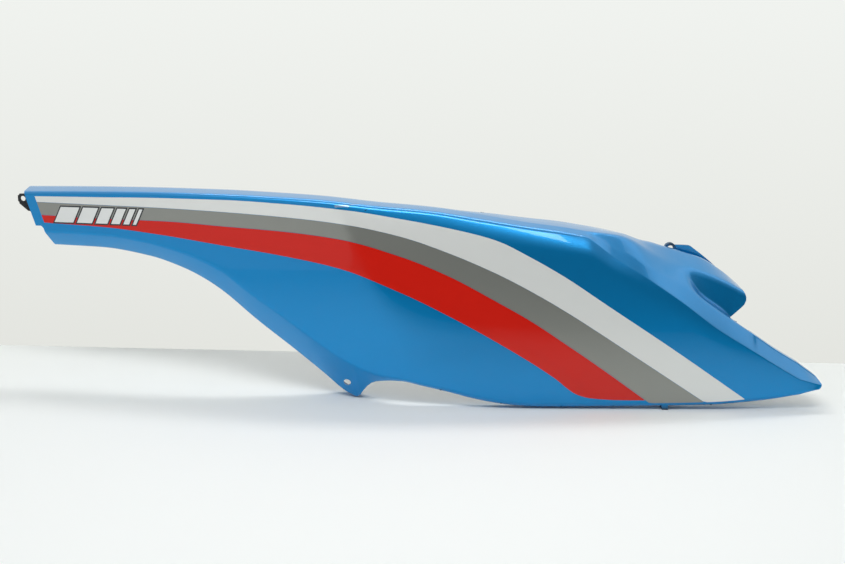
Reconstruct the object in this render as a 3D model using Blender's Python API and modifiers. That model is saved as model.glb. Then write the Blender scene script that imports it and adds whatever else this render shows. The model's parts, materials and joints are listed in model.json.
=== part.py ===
"""Scooter side panel: a moulded plastic skin with its flanges, lugs and bosses, and three stripe films.

X runs from the tail to the nose, Y from the outer face into the panel, Z up.
Sizes are in millimetres, and the meshes are made in metres.
"""
import math

import bmesh
import bpy
import numpy as np
from mathutils import Matrix, Vector

MM = 0.001

# Overall size. The outlines below are drawn on a sheet that is stretched to this size.
LENGTH = 805.0
HEIGHT = 211.0
SHEET_LENGTH = 805.0
SHEET_HEIGHT = 212.0

# Moulding
WALL = 2.5
BOTTOM_FLANGE = 12.0
ARM_FLANGE = 8.0
PEAK_FLANGE = 17.0
NOSE_FLANGE = 12.0
CORNER = 3.2

# Outer face: it leans back, bulges a little, and folds along the ridge
LEAN = 0.10
CROWN_RADIUS = 900.0
CROWN_HEIGHT = 60.0
RIDGE_AT = 353.0
RIDGE_SLANT = 0.437
RIDGE_SOFT_TOP = 0.5
RIDGE_SOFT_LOW = 4.0
ARM_RECESS = 0.19
NOSE_RECESS = 0.03
MID_HEIGHT = 125.0
ROLL_WIDTH = 14.0

# Stripe films
FILM_GAP = 0.3
FILM_THICKNESS = 0.25
FILM_START = 32.0
FILM_MARGIN = 4.5
FILM_JOINT = 0.3
FILM_ROWS = 3
FILM_END_WIDTH = 1.2

# Lugs, bosses and ribs
EAR_DEPTH = 13.0
EAR_THICKNESS = 3.0
EAR_HOLE = 5.6
UPSTAND_FRONT = 92.0
UPSTAND_THICKNESS = 2.5
LUG_OUTER = 12.0
LUG_HOLE = 7.0
LUG_LENGTH = 6.0
PEAK_HOLE = 7.4
BOSS_OUTER = 10.0
BOSS_BORE = 4.2
BOSS_REACH = 22.0
GUSSET = 1.8
GUSSET_SPREAD = 9.0
GUSSET_STEP = 4.0
RIB = 1.8
RIB_HEIGHT = 22.0
HOOK_WIDTH = 18.0
HOOK_REACH = 9.0
HOOK_THICKNESS = 2.0
FOOT_LOW = -5.0
FOOT_WIDTH = 6.0
FOOT_BACK = 52.0
FOOT_HEIGHT = 30.0

PAINT = (0.014, 0.205, 0.47)
SILVER_WHITE = (0.70, 0.72, 0.70)
GUNMETAL = (0.26, 0.27, 0.25)
SIGNAL_RED = (0.58, 0.03, 0.012)


def smooth_line(points):
    """A curve through (x, value) points that never overshoots them (monotone cubic)."""
    xs, ys = (np.array(column, float) for column in zip(*points))
    steps = np.diff(xs)
    slopes = np.diff(ys) / steps
    tangents = np.empty(len(xs))
    tangents[0], tangents[-1] = slopes[0], slopes[-1]
    for i in range(1, len(xs) - 1):
        before, after = slopes[i - 1], slopes[i]
        tangents[i] = 2 * before * after / (before + after) if before * after > 0 else 0.0

    def value(x):
        if x <= xs[0]:
            return float(ys[0] + tangents[0] * (x - xs[0]))
        if x >= xs[-1]:
            return float(ys[-1] + tangents[-1] * (x - xs[-1]))
        i = int(np.searchsorted(xs, x)) - 1
        t = (x - xs[i]) / steps[i]
        rise = steps[i] * ((t ** 3 - 2 * t ** 2 + t) * tangents[i] + (t ** 3 - t ** 2) * tangents[i + 1])
        return float((2 * t ** 3 - 3 * t ** 2 + 1) * ys[i] + (3 * t ** 2 - 2 * t ** 3) * ys[i + 1] + rise)

    return value


def along(x):
    return x * LENGTH / SHEET_LENGTH


def up(z):
    return z * HEIGHT / SHEET_HEIGHT


def outline(*points):
    """A height line z(x), drawn on the sheet."""
    return smooth_line([(along(x), up(z)) for x, z in points])


def amount(*points):
    """A size that changes along the panel: it stretches with the length only."""
    return smooth_line([(along(x), value) for x, value in points])


# Outlines of the outer face, seen from the side
BOTTOM_EDGE = outline((20, 146.5), (72, 145.5), (123, 138.5), (156, 128.5), (178, 118.5), (199, 105.5),
                      (235, 76), (277, 43.6), (302, 23.2), (321, 7), (330, 1.6), (335, -0.4), (338.5, 2.4),
                      (343.5, 10.5), (350, 17.8), (357, 21.3), (370, 23.5), (380, 24), (403, 19.5), (427, 14),
                      (451, 7.5), (475, 2.6), (499, -0.4), (520, -1.5), (560, -1.8), (640, -1.8),
                      (690, -1.2), (727, 1.5), (751, 4.5), (775, 8.5), (795, 11))
CHAMFER_EDGE = outline((18, 163), (76, 162), (118, 157), (160, 147), (203, 129), (221, 114.5), (259, 89),
                       (300, 60), (321, 46.5), (342, 36), (356, 31), (380, 28), (403, 23.5), (427, 18.5),
                       (451, 12), (475, 7), (499, 4.1), (520, 3), (560, 2.7), (640, 2.7), (690, 3.3),
                       (727, 6), (751, 8.5), (775, 12), (795, 14.5))
SHOULDER = outline((-5, 203), (77, 205), (140, 206), (202, 206), (253, 205), (306, 203), (358, 197.5),
                   (410, 192.5), (458, 184.5), (508, 176), (538, 171.5), (561, 167), (568, 164.8),
                   (574, 160.5), (589, 148.5), (616, 132), (638, 117.5), (657, 104.5), (695, 76),
                   (725, 57.5), (755, 39), (776, 26.5), (795, 16.5))
WHITE_TOP = outline((8, 199), (78, 200), (141, 201), (202, 201), (263, 199), (322, 195), (380, 186),
                    (427, 177), (474, 165), (509, 148), (544, 128), (580, 104), (652, 56), (725, 5))
GREY_TOP = outline((10, 193), (77, 192), (140, 191), (202, 189), (263, 186), (322, 181), (380, 169),
                   (427, 153), (474, 133), (509, 115), (545, 94), (617, 47), (683, 3))
RED_TOP = outline((15, 180), (77, 178.5), (140, 178), (202, 175), (262, 172), (322, 166), (380, 150),
                  (427, 131), (474, 106), (509, 86), (545, 62), (581, 37), (626, 4))
RED_BOTTOM = outline((23, 172), (77, 170), (140, 164), (201, 156), (262, 148), (322, 137), (380, 115),
                     (427, 92), (474, 66), (534, 28), (546, 18), (555, 12), (570, 8), (598, 6), (626, 5.5))

# How the station lines lean, how far the lower fold turns in, and how soft the shoulder is
SLANT = amount((21, 0.372), (300, 0.437), (400, 0.437), (500, 0.2), (568, 0), (795, 0))
FOLD_DEPTH = amount((20, 14), (200, 14), (260, 17), (300, 19), (327, 20), (335, 20), (339, 17), (343, 14),
                    (349, 11), (367, 5), (380, 2), (410, 1.2), (795, 1.2))
FLANGE_DEPTH = amount((20, ARM_FLANGE), (250, ARM_FLANGE), (330, PEAK_FLANGE), (340, PEAK_FLANGE),
                      (380, BOTTOM_FLANGE), (795, BOTTOM_FLANGE))
SHOULDER_REACH = amount((0, 8), (430, 8), (540, 4.5), (568, 2), (600, 1.6), (795, 1.4))
FACE_ROLL = amount((300, 0), (430, 0.3), (500, 1), (566, 2.6), (600, 1.6), (660, 0.6), (730, 0.3), (795, 0))
FOLD_LEAN = 0.14

TOP_LINE = outline((-5, 205.6), (77, 207.4), (140, 208), (202, 207.7), (253, 206.4), (306, 204.2),
                   (358, 198.7), (410, 193.8), (458, 187), (508, 179), (540, 174.7), (568, 170), (590, 167),
                   (603, 164), (616, 158), (628, 150), (640, 142.5), (652, 136.5), (665, 131.5),
                   (684, 125.5), (697, 121), (711, 115), (722, 109), (731, 104))

# Upper sections, drawn at stations along the panel. Between the shoulder and the top line lie the lip and
# the foot of the scoop's wall, each as (share of the way, drop below the straight way, rounding). Then come
# the wall's head as (inset from the face, rounding), and the crown and the free edge as (inset, rise,
# rounding).
UPPER_SECTIONS = (
    (-5, (0.8, 0, 1), (0.9, 0, 1), (20.5, 1), (22.5, 0, 1), (24.5, 0, 1)),
    (430, (0.8, 0, 1), (0.9, 0, 1), (20.5, 1), (22.5, 0, 1), (25, 0, 1)),
    (485, (0.75, 0, 1), (0.88, 0, 1), (18, 1), (27, 0.4, 2), (38, 0.4, 1)),
    (540, (0.6, 0, 1), (0.8, 0, 1), (16, 1.5), (30, 0.6, 3), (45, 0.6, 1)),
    (568, (0.35, 0, 1), (0.67, 0, 1), (16, 2), (31, 0.7, 4), (46, 0.5, 1)),
    (590, (0.33, -0.8, 2), (0.67, -0.6, 2), (20.5, 4), (36, 0.3, 5), (52, -1, 1)),
    (616, (0.34, -2.4, 3), (0.67, -2, 3), (26, 7), (46, 2.4, 7), (63, -2, 1)),
    (640, (0.42, -1.7, 4), (0.73, -1.1, 4), (33, 8), (57, 10.2, 8), (72, 6, 1)),
    (665, (0.47, -2, 4), (0.79, -1.2, 3), (37.5, 6), (64, 13.2, 7), (75, 9, 1)),
    (684, (0.45, 0.5, 4), (0.81, 13.5, 3.5), (37.5, 5), (65, 13.4, 7), (76, 8.8, 1)),
    (711, (0.44, 4, 4), (0.81, 20.5, 3.5), (38.5, 6), (66, 7.5, 7), (77, 2.5, 1)),
    (731, (0.46, 6, 4), (0.82, 25, 3.5), (39, 6), (67, -2, 7), (78, -7, 1)),
)
FIN_END = 731
FIN_PULL_FROM = 700
FIN_PULL = (0, -13, 3, 4, 4)

# The strip in front of the fin: how far its top edge lies behind and above the shoulder
STRIP_INSET = amount((731, 18), (763, 18), (779, 17))
STRIP_RISE = amount((731, 16.6), (763, 14.5), (779, 14.5))
STRIP_ROUND = 3.0

# Nose: the last stations bend into an arc round the tip
NOSE_START = 778
TIP_CENTRE = (795.3, 19.7)
TIP_RADIUS = 4.6
TIP_ANGLES = (math.radians(-70), math.radians(54))
NOSE_STEPS = (0.4, 0.7, 0.9, 1.0)
NOSE_LOW_ROWS = (1, 6, 12, 12)

# Rows of a section. Corners rounded by less than SOFT_REACH stay sharp on the inner side
CORNER_ROWS = 3
FACE_ROWS = 7
SHOULDER_ROWS = 4
EDGE_ROW = CORNER_ROWS
LIP_ROW = 1 + 2 * CORNER_ROWS + FACE_ROWS + SHOULDER_ROWS
ROUND_LIMIT = 0.49
SOFT_REACH = 4.2
CORNER_WEIGHT = 0.2

# Where the lugs, bosses and ribs sit, drawn on the sheet
EAR_OUTLINE = ((-17.5, 199), (-9, 199), (-4, 202.5), (10, 202.5), (10, 180), (-6.5, 180), (-17.5, 190))
EAR_HOLE_AT = (-12.5, 194)
TAIL_NOTCH = ((-40, 169), (11, 169), (13.5, 166.5), (15.5, 160), (20, 148), (20, 130), (-40, 130))
UPSTAND_TOP = ((652, 140), (657, 146), (664, 147.5), (677, 147), (685, 142), (706, 125), (728, 104.5),
               (735, 96))
LUG_AT = (658, 144)
FIN_ROUND = ((709, 79.5), (715.1, 82.2), (720, 86), (725, 90), (728.4, 93.2), (730.2, 97),
             (730.4, 100.5), (729.4, 104), (727.4, 107.5), (725, 112), (725, 122), (752, 122), (752, 73.5),
             (731, 73.5))
FIN_CUT_FRONT = 44.0
PEAK_HOLE_AT = (326, 17.5)
BOSSES = ((95, 186), (262, 160), (455, 110), (600, 60))
LOW_RIBS = (420, 480, 540, 592, 690)
HOOKS = (60, 190, 330, 470)
FOOT_AT = 644


def drawn(corner, item):
    """One value of the upper sections as a line along the panel."""
    return amount(*((entry[0], entry[corner][item]) for entry in UPPER_SECTIONS))


LIP, FOOT, HEAD, CROWN, FREE = (
    [drawn(corner, item) for item in range(len(UPPER_SECTIONS[0][corner]))] for corner in range(1, 6))


def ridge_x(z):
    return along(RIDGE_AT) - RIDGE_SLANT * (z - MID_HEIGHT)


def face(x, z):
    """Depth of the outer face at a point of the side view."""
    tail_side = ARM_RECESS * (ridge_x(z) - x)
    nose_side = NOSE_RECESS * (x - ridge_x(z))
    share = min(max((z - 60) / 90, 0), 1)
    softness = RIDGE_SOFT_LOW + (RIDGE_SOFT_TOP - RIDGE_SOFT_LOW) * share
    fold = (tail_side + nose_side) / 2 + math.hypot((tail_side - nose_side) / 2, softness)
    return fold + LEAN * z + (z - CROWN_HEIGHT) ** 2 / (2 * CROWN_RADIUS)


def rolled_face(x, z):
    """The face with its soft roll just under the shoulder."""
    start = SHOULDER(x) - ROLL_WIDTH
    roll = max(z - start, 0) / ROLL_WIDTH
    return face(x, z) + FACE_ROLL(x) * roll ** 2


def meet(station, line):
    """Where a station line crosses an outline."""
    x = station
    for _ in range(25):
        x = station + SLANT(station) * (MID_HEIGHT - line(x))
    return x, line(x)


def on_station(station, z):
    x = station + SLANT(station) * (MID_HEIGHT - z)
    return Vector((x, rolled_face(x, z), z))


def rounded(before, corner, after, reach, count):
    """Points round a corner, from reach before it to reach after it. Its sides limit the reach."""
    reach = min(reach, ROUND_LIMIT * (before - corner).length, ROUND_LIMIT * (after - corner).length)
    start = corner + (before - corner).normalized() * reach
    end = corner + (after - corner).normalized() * reach
    points = []
    for i in range(count):
        t = i / (count - 1)
        points.append(start * (1 - t) ** 2 + corner * 2 * t * (1 - t) + end * t ** 2)
    return points, reach < SOFT_REACH


def lower_corners(station):
    """Free edge, bottom corner and chamfer corner of a section."""
    x, z = meet(station, CHAMFER_EDGE)
    chamfer = Vector((x, face(x, z), z))
    low_x = x
    for _ in range(25):
        low_x = x + FOLD_LEAN * (z - BOTTOM_EDGE(low_x))
    low_z = BOTTOM_EDGE(low_x)
    bottom = Vector((low_x, chamfer.y + FOLD_DEPTH(low_x), low_z))
    free = bottom + Vector((0, FLANGE_DEPTH(low_x), 0.4))
    return free, bottom, chamfer


def upper_corners(station):
    """The shoulder corner, then (corner, rounding) for the rest of the upper section."""
    x, z = meet(station, SHOULDER)
    shoulder = Vector((x, rolled_face(x, z), z))
    if x > along(FIN_END):
        lip = shoulder + Vector((0, STRIP_INSET(x), STRIP_RISE(x)))
        return shoulder, [(lip, STRIP_ROUND), (lip + Vector((0, NOSE_FLANGE, 0)), 0)]
    head = Vector((x, shoulder.y + HEAD[0](x), TOP_LINE(x)))
    corners = []
    for share, drop, rounding in (LIP, FOOT):
        corner = shoulder.lerp(head, share(x)) - Vector((0, 0, drop(x)))
        corners.append((corner, rounding(x)))
    corners.append((head, HEAD[1](x)))
    for inset, rise, rounding in (CROWN, FREE):
        corners.append((Vector((x, shoulder.y + inset(x), head.z + rise(x))), rounding(x)))
    ramp = min(max((x - along(FIN_PULL_FROM)) / (along(FIN_END) - along(FIN_PULL_FROM)), 0), 1) ** 2
    pulls = [Vector((pull * ramp, 0, 0)) for pull in FIN_PULL]
    return shoulder, [(corner + pull, rounding) for (corner, rounding), pull in zip(corners, pulls)]


def section(station):
    """One section of the outer skin, from the bottom flange's free edge to the top flange's.

    Each row carries the number of its corner on the inner side, which keeps small corners sharp.
    """
    free, bottom, chamfer = lower_corners(station)
    shoulder, corners = upper_corners(station)
    low_reach = min(4.5, 0.42 * (chamfer - bottom).length)
    face_low = on_station(station, chamfer.z + low_reach)
    face_high = on_station(station, shoulder.z - SHOULDER_REACH(shoulder.x))
    rows = [(free, 0)]

    def add(points, one_corner):
        for i, point in enumerate(points):
            same = one_corner and i > 0
            rows.append((point, rows[-1][1] if same else rows[-1][1] + 1))

    add(*rounded(free, bottom, chamfer, min(CORNER, low_reach * 1.2), CORNER_ROWS))
    add(*rounded(bottom, chamfer, face_low, low_reach, CORNER_ROWS))
    for i in range(1, FACE_ROWS + 1):
        share = i / (FACE_ROWS + 1)
        add([on_station(station, face_low.z + (face_high.z - face_low.z) * share)], False)
    add(*rounded(face_high, shoulder, corners[0][0], SHOULDER_REACH(shoulder.x), SHOULDER_ROWS))
    before = shoulder
    for (corner, rounding), (after, _) in zip(corners, corners[1:]):
        add(*rounded(before, corner, after, rounding, CORNER_ROWS))
        before = corner
    add([corners[-1][0]], False)
    return rows


def nose_section(share):
    """A section between the straight one at the nose and the arc of the tip, up to the lip."""
    start = section(along(NOSE_START))[EDGE_ROW:LIP_ROW + 1]
    low, high = start[0][0].z, start[-1][0].z
    rows = []
    for point, corner in start:
        t = (point.z - low) / (high - low)
        angle = TIP_ANGLES[0] + (TIP_ANGLES[1] - TIP_ANGLES[0]) * t
        x = along(TIP_CENTRE[0]) + TIP_RADIUS * math.cos(angle)
        z = up(TIP_CENTRE[1]) + TIP_RADIUS * math.sin(angle)
        tip = Vector((x, point.y + NOSE_RECESS * (x - point.x), z))
        rows.append((point.lerp(tip, share), corner))
    return rows


def stations():
    """Station positions: close together where the form turns quickly."""
    spans = ((21.2, 262, 17), (262, 268, 2), (268, 300, 12), (300, 343, 4), (343, 363, 6), (363, 560, 13),
             (560, 576, 3), (576, 632, 5), (632, FIN_END, 11), (FIN_END, NOSE_START, 5))
    places = []
    for start, end, count in spans:
        places += [along(start + (end - start) * i / count) for i in range(count)]
    return places + [along(NOSE_START)]


def turned_in(points, inward, depth, corner):
    """Three rows that turn an edge inwards: two round the corner and one at the free edge."""
    rows = []
    for share, reach in ((0.3, 0.35), (1.0, 1.0)):
        back = Vector((0, corner * reach, 0))
        rows.append([p + out * corner * share + back for p, out in zip(points, inward)])
    rows.append([p + out * corner + Vector((0, d, 0)) for p, out, d in zip(points, inward, depth)])
    return rows


def outer_skin(bm):
    """The outer surface in a bmesh, and for each vertex the inner corner it belongs to."""
    places = stations()
    fin_end = places.index(along(FIN_END))
    inner = {}

    def add(point, corner):
        vert = bm.verts.new(point * MM)
        inner[vert] = corner
        return vert

    def strip(a, b):
        for i in range(min(len(a), len(b)) - 1):
            bm.faces.new((a[i], b[i], b[i + 1], a[i + 1]))

    columns = []
    for j, place in enumerate(places):
        rows = section(place)
        if j > fin_end:
            rows = rows[:LIP_ROW + 1]
        columns.append([add(point, ("column", j, corner)) for point, corner in rows])
    for a, b in zip(columns, columns[1:]):
        strip(a, b)

    # Nose: the face rows carry on to the tip
    nose = [columns[-1][EDGE_ROW:LIP_ROW + 1]]
    for j, share in enumerate(NOSE_STEPS):
        rows = nose_section(share)
        low = NOSE_LOW_ROWS[j]
        rows = [(point, rows[0][1] if i < low else corner) for i, (point, corner) in enumerate(rows)]
        nose.append([add(point, ("nose", j, corner)) for point, corner in rows])
    for a, b in zip(nose, nose[1:]):
        strip(a, b)

    # Nose flange: bottom, tip and top strip back to the fin
    top_run = [column[LIP_ROW] for column in columns[fin_end:]] + [column[-1] for column in nose[1:-1]]
    bottom_run = [column[0] for column in nose[1:-1]]
    rim = bottom_run + nose[-1] + top_run[::-1]
    points = [v.co / MM for v in rim]
    inward = []
    for i, point in enumerate(points):
        a = points[max(i - 1, 0)]
        b = points[min(i + 1, len(points) - 1)]
        tangent = Vector((b.x - a.x, 0, b.z - a.z)).normalized()
        inward.append(Vector((tangent.z, 0, -tangent.x)) * 0.35)
    end_column = columns[fin_end]
    rings = [rim]
    for k, ring in enumerate(turned_in(points, inward, [NOSE_FLANGE] * len(points), CORNER)):
        row = []
        for i, point in enumerate(ring):
            if k < 2 and i == len(ring) - 1:
                row.append(end_column[LIP_ROW + 1 + k])
            else:
                row.append(add(point, inner[rim[i]] if k < 2 else ("free", *inner[rim[i]])))
        rings.append(row)
    for lower, upper in zip(rings, rings[1:]):
        for i in range(len(rim) - 1):
            bm.faces.new((lower[i], lower[i + 1], upper[i + 1], upper[i]))
    first = [columns[-1][k] for k in (3, 2, 1, 0)]
    for k in range(3):
        bm.faces.new((first[k], rings[k][0], rings[k + 1][0], first[k + 1]))
    return inner


def inner_point(verts, faces):
    """A point one wall's thickness behind the planes of the faces round a corner."""
    middle = sum((v.co for v in verts), Vector()) / len(verts)
    normal = sum((f.normal for f in faces), Vector()).normalized()
    start = np.array(middle - normal * WALL * MM)
    weight = CORNER_WEIGHT
    matrix = [np.eye(3) * weight]
    values = [start * weight]
    for face_ in faces:
        own = [v.co for v in face_.verts if v in verts]
        through = np.array(sum(own, Vector()) / len(own))
        n = np.array(face_.normal)
        matrix.append(n[None, :])
        values.append(np.array([n @ through - WALL * MM]))
    solution = np.linalg.lstsq(np.vstack(matrix), np.concatenate(values), rcond=None)[0]
    return Vector(solution.tolist())


def skin_mesh():
    """The skin as a closed wall: outer surface, inner surface and the free edges between them."""
    bm = bmesh.new()
    inner = outer_skin(bm)
    bmesh.ops.recalc_face_normals(bm, faces=bm.faces)
    if sum(f.normal.y * f.calc_area() for f in bm.faces) > 0:
        bmesh.ops.reverse_faces(bm, faces=bm.faces)
    bm.normal_update()
    outer_faces = list(bm.faces)
    rims = [[loop.vert for loop in (edge.link_loops[0], edge.link_loops[0].link_loop_next)]
            for edge in bm.edges if edge.is_boundary]
    groups = {}
    for vert, corner in inner.items():
        groups.setdefault(corner, []).append(vert)
    main_faces = [f for f in outer_faces if len({inner[v] for v in f.verts}) > 2]
    around = {corner: [] for corner in groups}
    for f in main_faces:
        for corner in {inner[v] for v in f.verts}:
            around[corner].append(f)
    places = {corner: inner_point(verts, around[corner]) for corner, verts in groups.items()}
    made = {corner: bm.verts.new(place) for corner, place in places.items()}

    def close(verts):
        ring = []
        for vert in verts:
            if vert not in ring:
                ring.append(vert)
        if len(ring) > 2:
            bm.faces.new(ring)

    for f in main_faces:
        close([made[inner[v]] for v in reversed(f.verts)])
    for a, b in rims:
        close([b, a, made[inner[a]], made[inner[b]]])
    mesh = bpy.data.meshes.new("skin")
    bm.to_mesh(mesh)
    bm.free()
    return mesh


def clear_scene():
    for obj in list(bpy.data.objects):
        bpy.data.objects.remove(obj, do_unlink=True)


def new_collection(name):
    collection = bpy.data.collections.new(name)
    bpy.context.scene.collection.children.link(collection)
    return collection


def paint(name, colour, roughness, metallic):
    material = bpy.data.materials.new(name)
    material.use_nodes = True
    shader = material.node_tree.nodes["Principled BSDF"]
    shader.inputs["Base Color"].default_value = (*colour, 1)
    shader.inputs["Roughness"].default_value = roughness
    shader.inputs["Metallic"].default_value = metallic
    return material


def add_object(name, mesh, collection):
    obj = bpy.data.objects.new(name, mesh)
    collection.objects.link(obj)
    return obj


def as_guide(obj):
    """A guide shapes another object and isn't a piece of its own."""
    obj.hide_render = True
    obj.display_type = "WIRE"
    return obj


def plate(name, corners, front, back, collection, radius=0.0):
    """A flat plate: an outline in the side view, from one depth to another, with rounded corners."""
    bm = bmesh.new()
    verts = [bm.verts.new((x * MM, front * MM, z * MM)) for x, z in corners]
    bm.faces.new(verts)
    result = bmesh.ops.extrude_face_region(bm, geom=bm.faces[:])
    moved = [v for v in result["geom"] if isinstance(v, bmesh.types.BMVert)]
    bmesh.ops.translate(bm, verts=moved, vec=(0, (back - front) * MM, 0))
    if radius:
        half = 0.5 * abs(back - front) * MM
        long_edges = [e for e in bm.edges if abs(e.verts[0].co.y - e.verts[1].co.y) > half]
        bmesh.ops.bevel(bm, geom=long_edges, offset=radius * MM, segments=3, affect="EDGES")
    bmesh.ops.recalc_face_normals(bm, faces=bm.faces)
    mesh = bpy.data.meshes.new(name)
    bm.to_mesh(mesh)
    bm.free()
    return as_guide(add_object(name, mesh, collection))


def rod(name, x, z, front, back, diameter, collection, sides=20):
    """A round rod along Y."""
    bm = bmesh.new()
    length = (back - front) * MM
    bmesh.ops.create_cone(bm, cap_ends=True, segments=sides, radius1=diameter / 2 * MM,
                          radius2=diameter / 2 * MM, depth=length)
    bmesh.ops.rotate(bm, verts=bm.verts, cent=(0, 0, 0), matrix=Matrix.Rotation(math.radians(90), 3, "X"))
    bmesh.ops.translate(bm, verts=bm.verts, vec=(x * MM, (front + back) / 2 * MM, z * MM))
    mesh = bpy.data.meshes.new(name)
    bm.to_mesh(mesh)
    bm.free()
    return as_guide(add_object(name, mesh, collection))


def rib(name, x, corners, collection, thickness=RIB):
    """A thin rib across the panel: an outline in the (y, z) plane, centred on x."""
    bm = bmesh.new()
    verts = [bm.verts.new(((x - thickness / 2) * MM, y * MM, z * MM)) for y, z in corners]
    bm.faces.new(verts)
    result = bmesh.ops.extrude_face_region(bm, geom=bm.faces[:])
    moved = [v for v in result["geom"] if isinstance(v, bmesh.types.BMVert)]
    bmesh.ops.translate(bm, verts=moved, vec=(thickness * MM, 0, 0))
    bmesh.ops.recalc_face_normals(bm, faces=bm.faces)
    mesh = bpy.data.meshes.new(name)
    bm.to_mesh(mesh)
    bm.free()
    return as_guide(add_object(name, mesh, collection))


def skin_depth(x, z):
    """Depth of the outer face, taken at a place drawn on the sheet."""
    return rolled_face(along(x), up(z))


def add_ear(fused, cutters):
    """Screw ear behind the tail end."""
    front = skin_depth(-3, 199) + EAR_DEPTH
    corners = [(along(x), up(z)) for x, z in EAR_OUTLINE]
    plate("ear", corners, front, front + EAR_THICKNESS, fused, radius=1.5)
    low, high = up(172), up(202.5)
    x = along(9)
    rib("ear_rib", x, ((skin_depth(9, 172) + 1.2, low), (front + EAR_THICKNESS, up(182)),
                       (front + EAR_THICKNESS, high), (skin_depth(9, 202.5) + 1.2, high)), fused)
    x, z = EAR_HOLE_AT
    rod("ear_hole", along(x), up(z), front - 5, front + EAR_THICKNESS + 5, EAR_HOLE, cutters)


def add_upstand(fused, cutters):
    """Low wall behind the fin's crown, with a round screw lug at its rear end."""
    back = UPSTAND_FRONT + UPSTAND_THICKNESS
    top = [(along(x), up(z)) for x, z in UPSTAND_TOP]
    line = smooth_line(top)
    steps = 14
    left, right = top[0][0], top[-1][0]
    xs = [left + (right - left) * i / steps for i in range(steps + 1)]
    upper = [(x, line(x)) for x in xs]
    lower = [(x, min(TOP_LINE(x) + FREE[1](x) - 4, line(x) - 3)) for x in reversed(xs)]
    plate("upstand", upper + lower, UPSTAND_FRONT, back, fused)
    x, z = along(LUG_AT[0]), up(LUG_AT[1])
    rod("lug", x, z, back - LUG_LENGTH, back, LUG_OUTER, fused, sides=24)
    rod("lug_hole", x, z, back - 4 * LUG_LENGTH, back + 5, LUG_HOLE, cutters)


def add_boss(number, fused, cutters):
    """Screw boss on the back of the skin, with four gussets."""
    x, z = along(BOSSES[number][0]), up(BOSSES[number][1])
    root = rolled_face(x, z) + WALL * 0.6
    end = rolled_face(x, z) + BOSS_REACH
    rod(f"boss_{number}", x, z, root, end, BOSS_OUTER, fused, sides=24)
    spread = BOSS_OUTER / 2 + GUSSET_SPREAD
    for side in (-1, 1):
        deep = rolled_face(x, z + side * spread) + WALL * 0.6
        high = end - GUSSET_STEP
        corners = ((root + 1, z), (deep, z + side * spread), (high, z + side * BOSS_OUTER / 2), (high, z))
        rib(f"gusset_{number}_{side + 1}", x, corners, fused, GUSSET)
    rod(f"bore_{number}", x, z, rolled_face(x, z) + WALL + 2, end + 5, BOSS_BORE, cutters)


def add_low_rib(number, fused):
    """Stiffening rib between the bottom flange and the face."""
    x = along(LOW_RIBS[number])
    low = BOTTOM_EDGE(x) + 1
    front = face(x, low + 4) + WALL * 0.5
    back = front + BOTTOM_FLANGE - WALL
    top = low + RIB_HEIGHT
    rib(f"low_rib_{number}", x, ((front, low), (back, low), (face(x, top) + WALL * 0.5, top)), fused)


def add_hook(number, fused):
    """Flat tongue on the top flange that slips under the next panel."""
    x = along(HOOKS[number])
    z = TOP_LINE(x)
    root = rolled_face(x, z) + FREE[0](x) - 6
    tilt = HOOK_WIDTH / 2 * (TOP_LINE(x + 1) - TOP_LINE(x))
    low, high = z - WALL - HOOK_THICKNESS, z - WALL + 0.3
    left, right = x - HOOK_WIDTH / 2, x + HOOK_WIDTH / 2
    corners = ((left, low - tilt), (right, low + tilt), (right, high + tilt), (left, high - tilt))
    plate(f"hook_{number}", corners, root, root + 6 + HOOK_REACH, fused)


def add_foot(fused):
    """Thick rib under the nose half: the panel stands on it and on the peak."""
    x = along(FOOT_AT)
    front = face(x, 0) + 1.5
    top = FOOT_HEIGHT
    corners = ((front, FOOT_LOW), (FOOT_BACK, FOOT_LOW), (FOOT_BACK, FOOT_LOW + 5),
               (face(x, top) + WALL * 0.5, top), (front, 1))
    rib("foot", x, corners, fused, FOOT_WIDTH)


def add_cuts(cutters):
    """The stepped tail end, the round end of the fin and the screw hole in the peak."""
    corners = [(along(x), up(z)) for x, z in TAIL_NOTCH]
    depth = skin_depth(0, 160)
    plate("tail_notch", corners, depth - 40, depth + 60, cutters)
    corners = [(along(x), up(z)) for x, z in FIN_ROUND]
    plate("fin_round", corners, FIN_CUT_FRONT, UPSTAND_FRONT + 20, cutters)
    x, z = along(PEAK_HOLE_AT[0]), up(PEAK_HOLE_AT[1])
    rod("peak_hole", x, z, face(x, z) - 20, face(x, z) + 60, PEAK_HOLE, cutters, sides=24)


def cut_line(x):
    """The films end just above the bottom edge."""
    return BOTTOM_EDGE(x) + FILM_MARGIN


def film_mesh(name, upper, lower):
    """A stripe as a sheet just off the face, between two outlines."""
    def low(x):
        return max(lower(x) + FILM_JOINT / 2, cut_line(x))

    def high(x):
        return upper(x) - FILM_JOINT / 2

    def width(place):
        return meet(place, high)[1] - meet(place, low)[1]

    places = [p for p in stations() if p > along(FILM_START) + 4]
    end = next(p for p in (places[0] + i * 0.5 for i in range(4000)) if width(p) < FILM_END_WIDTH)
    places = [along(FILM_START)] + [p for p in places if p < end - 2] + [end]
    bm = bmesh.new()
    columns = []
    for place in places:
        z0, z1 = meet(place, low)[1], meet(place, high)[1]
        column = []
        for i in range(FILM_ROWS + 1):
            point = on_station(place, z0 + (z1 - z0) * i / FILM_ROWS)
            point.y -= FILM_GAP
            column.append(bm.verts.new(point * MM))
        columns.append(column)
    for a, b in zip(columns, columns[1:]):
        for i in range(FILM_ROWS):
            bm.faces.new((a[i], b[i], b[i + 1], a[i + 1]))
    mesh = bpy.data.meshes.new(name)
    bm.to_mesh(mesh)
    bm.free()
    return mesh


def solidify(obj, thickness, offset):
    wall = obj.modifiers.new("wall", "SOLIDIFY")
    wall.thickness = thickness * MM
    wall.offset = offset
    wall.use_even_offset = True


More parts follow.
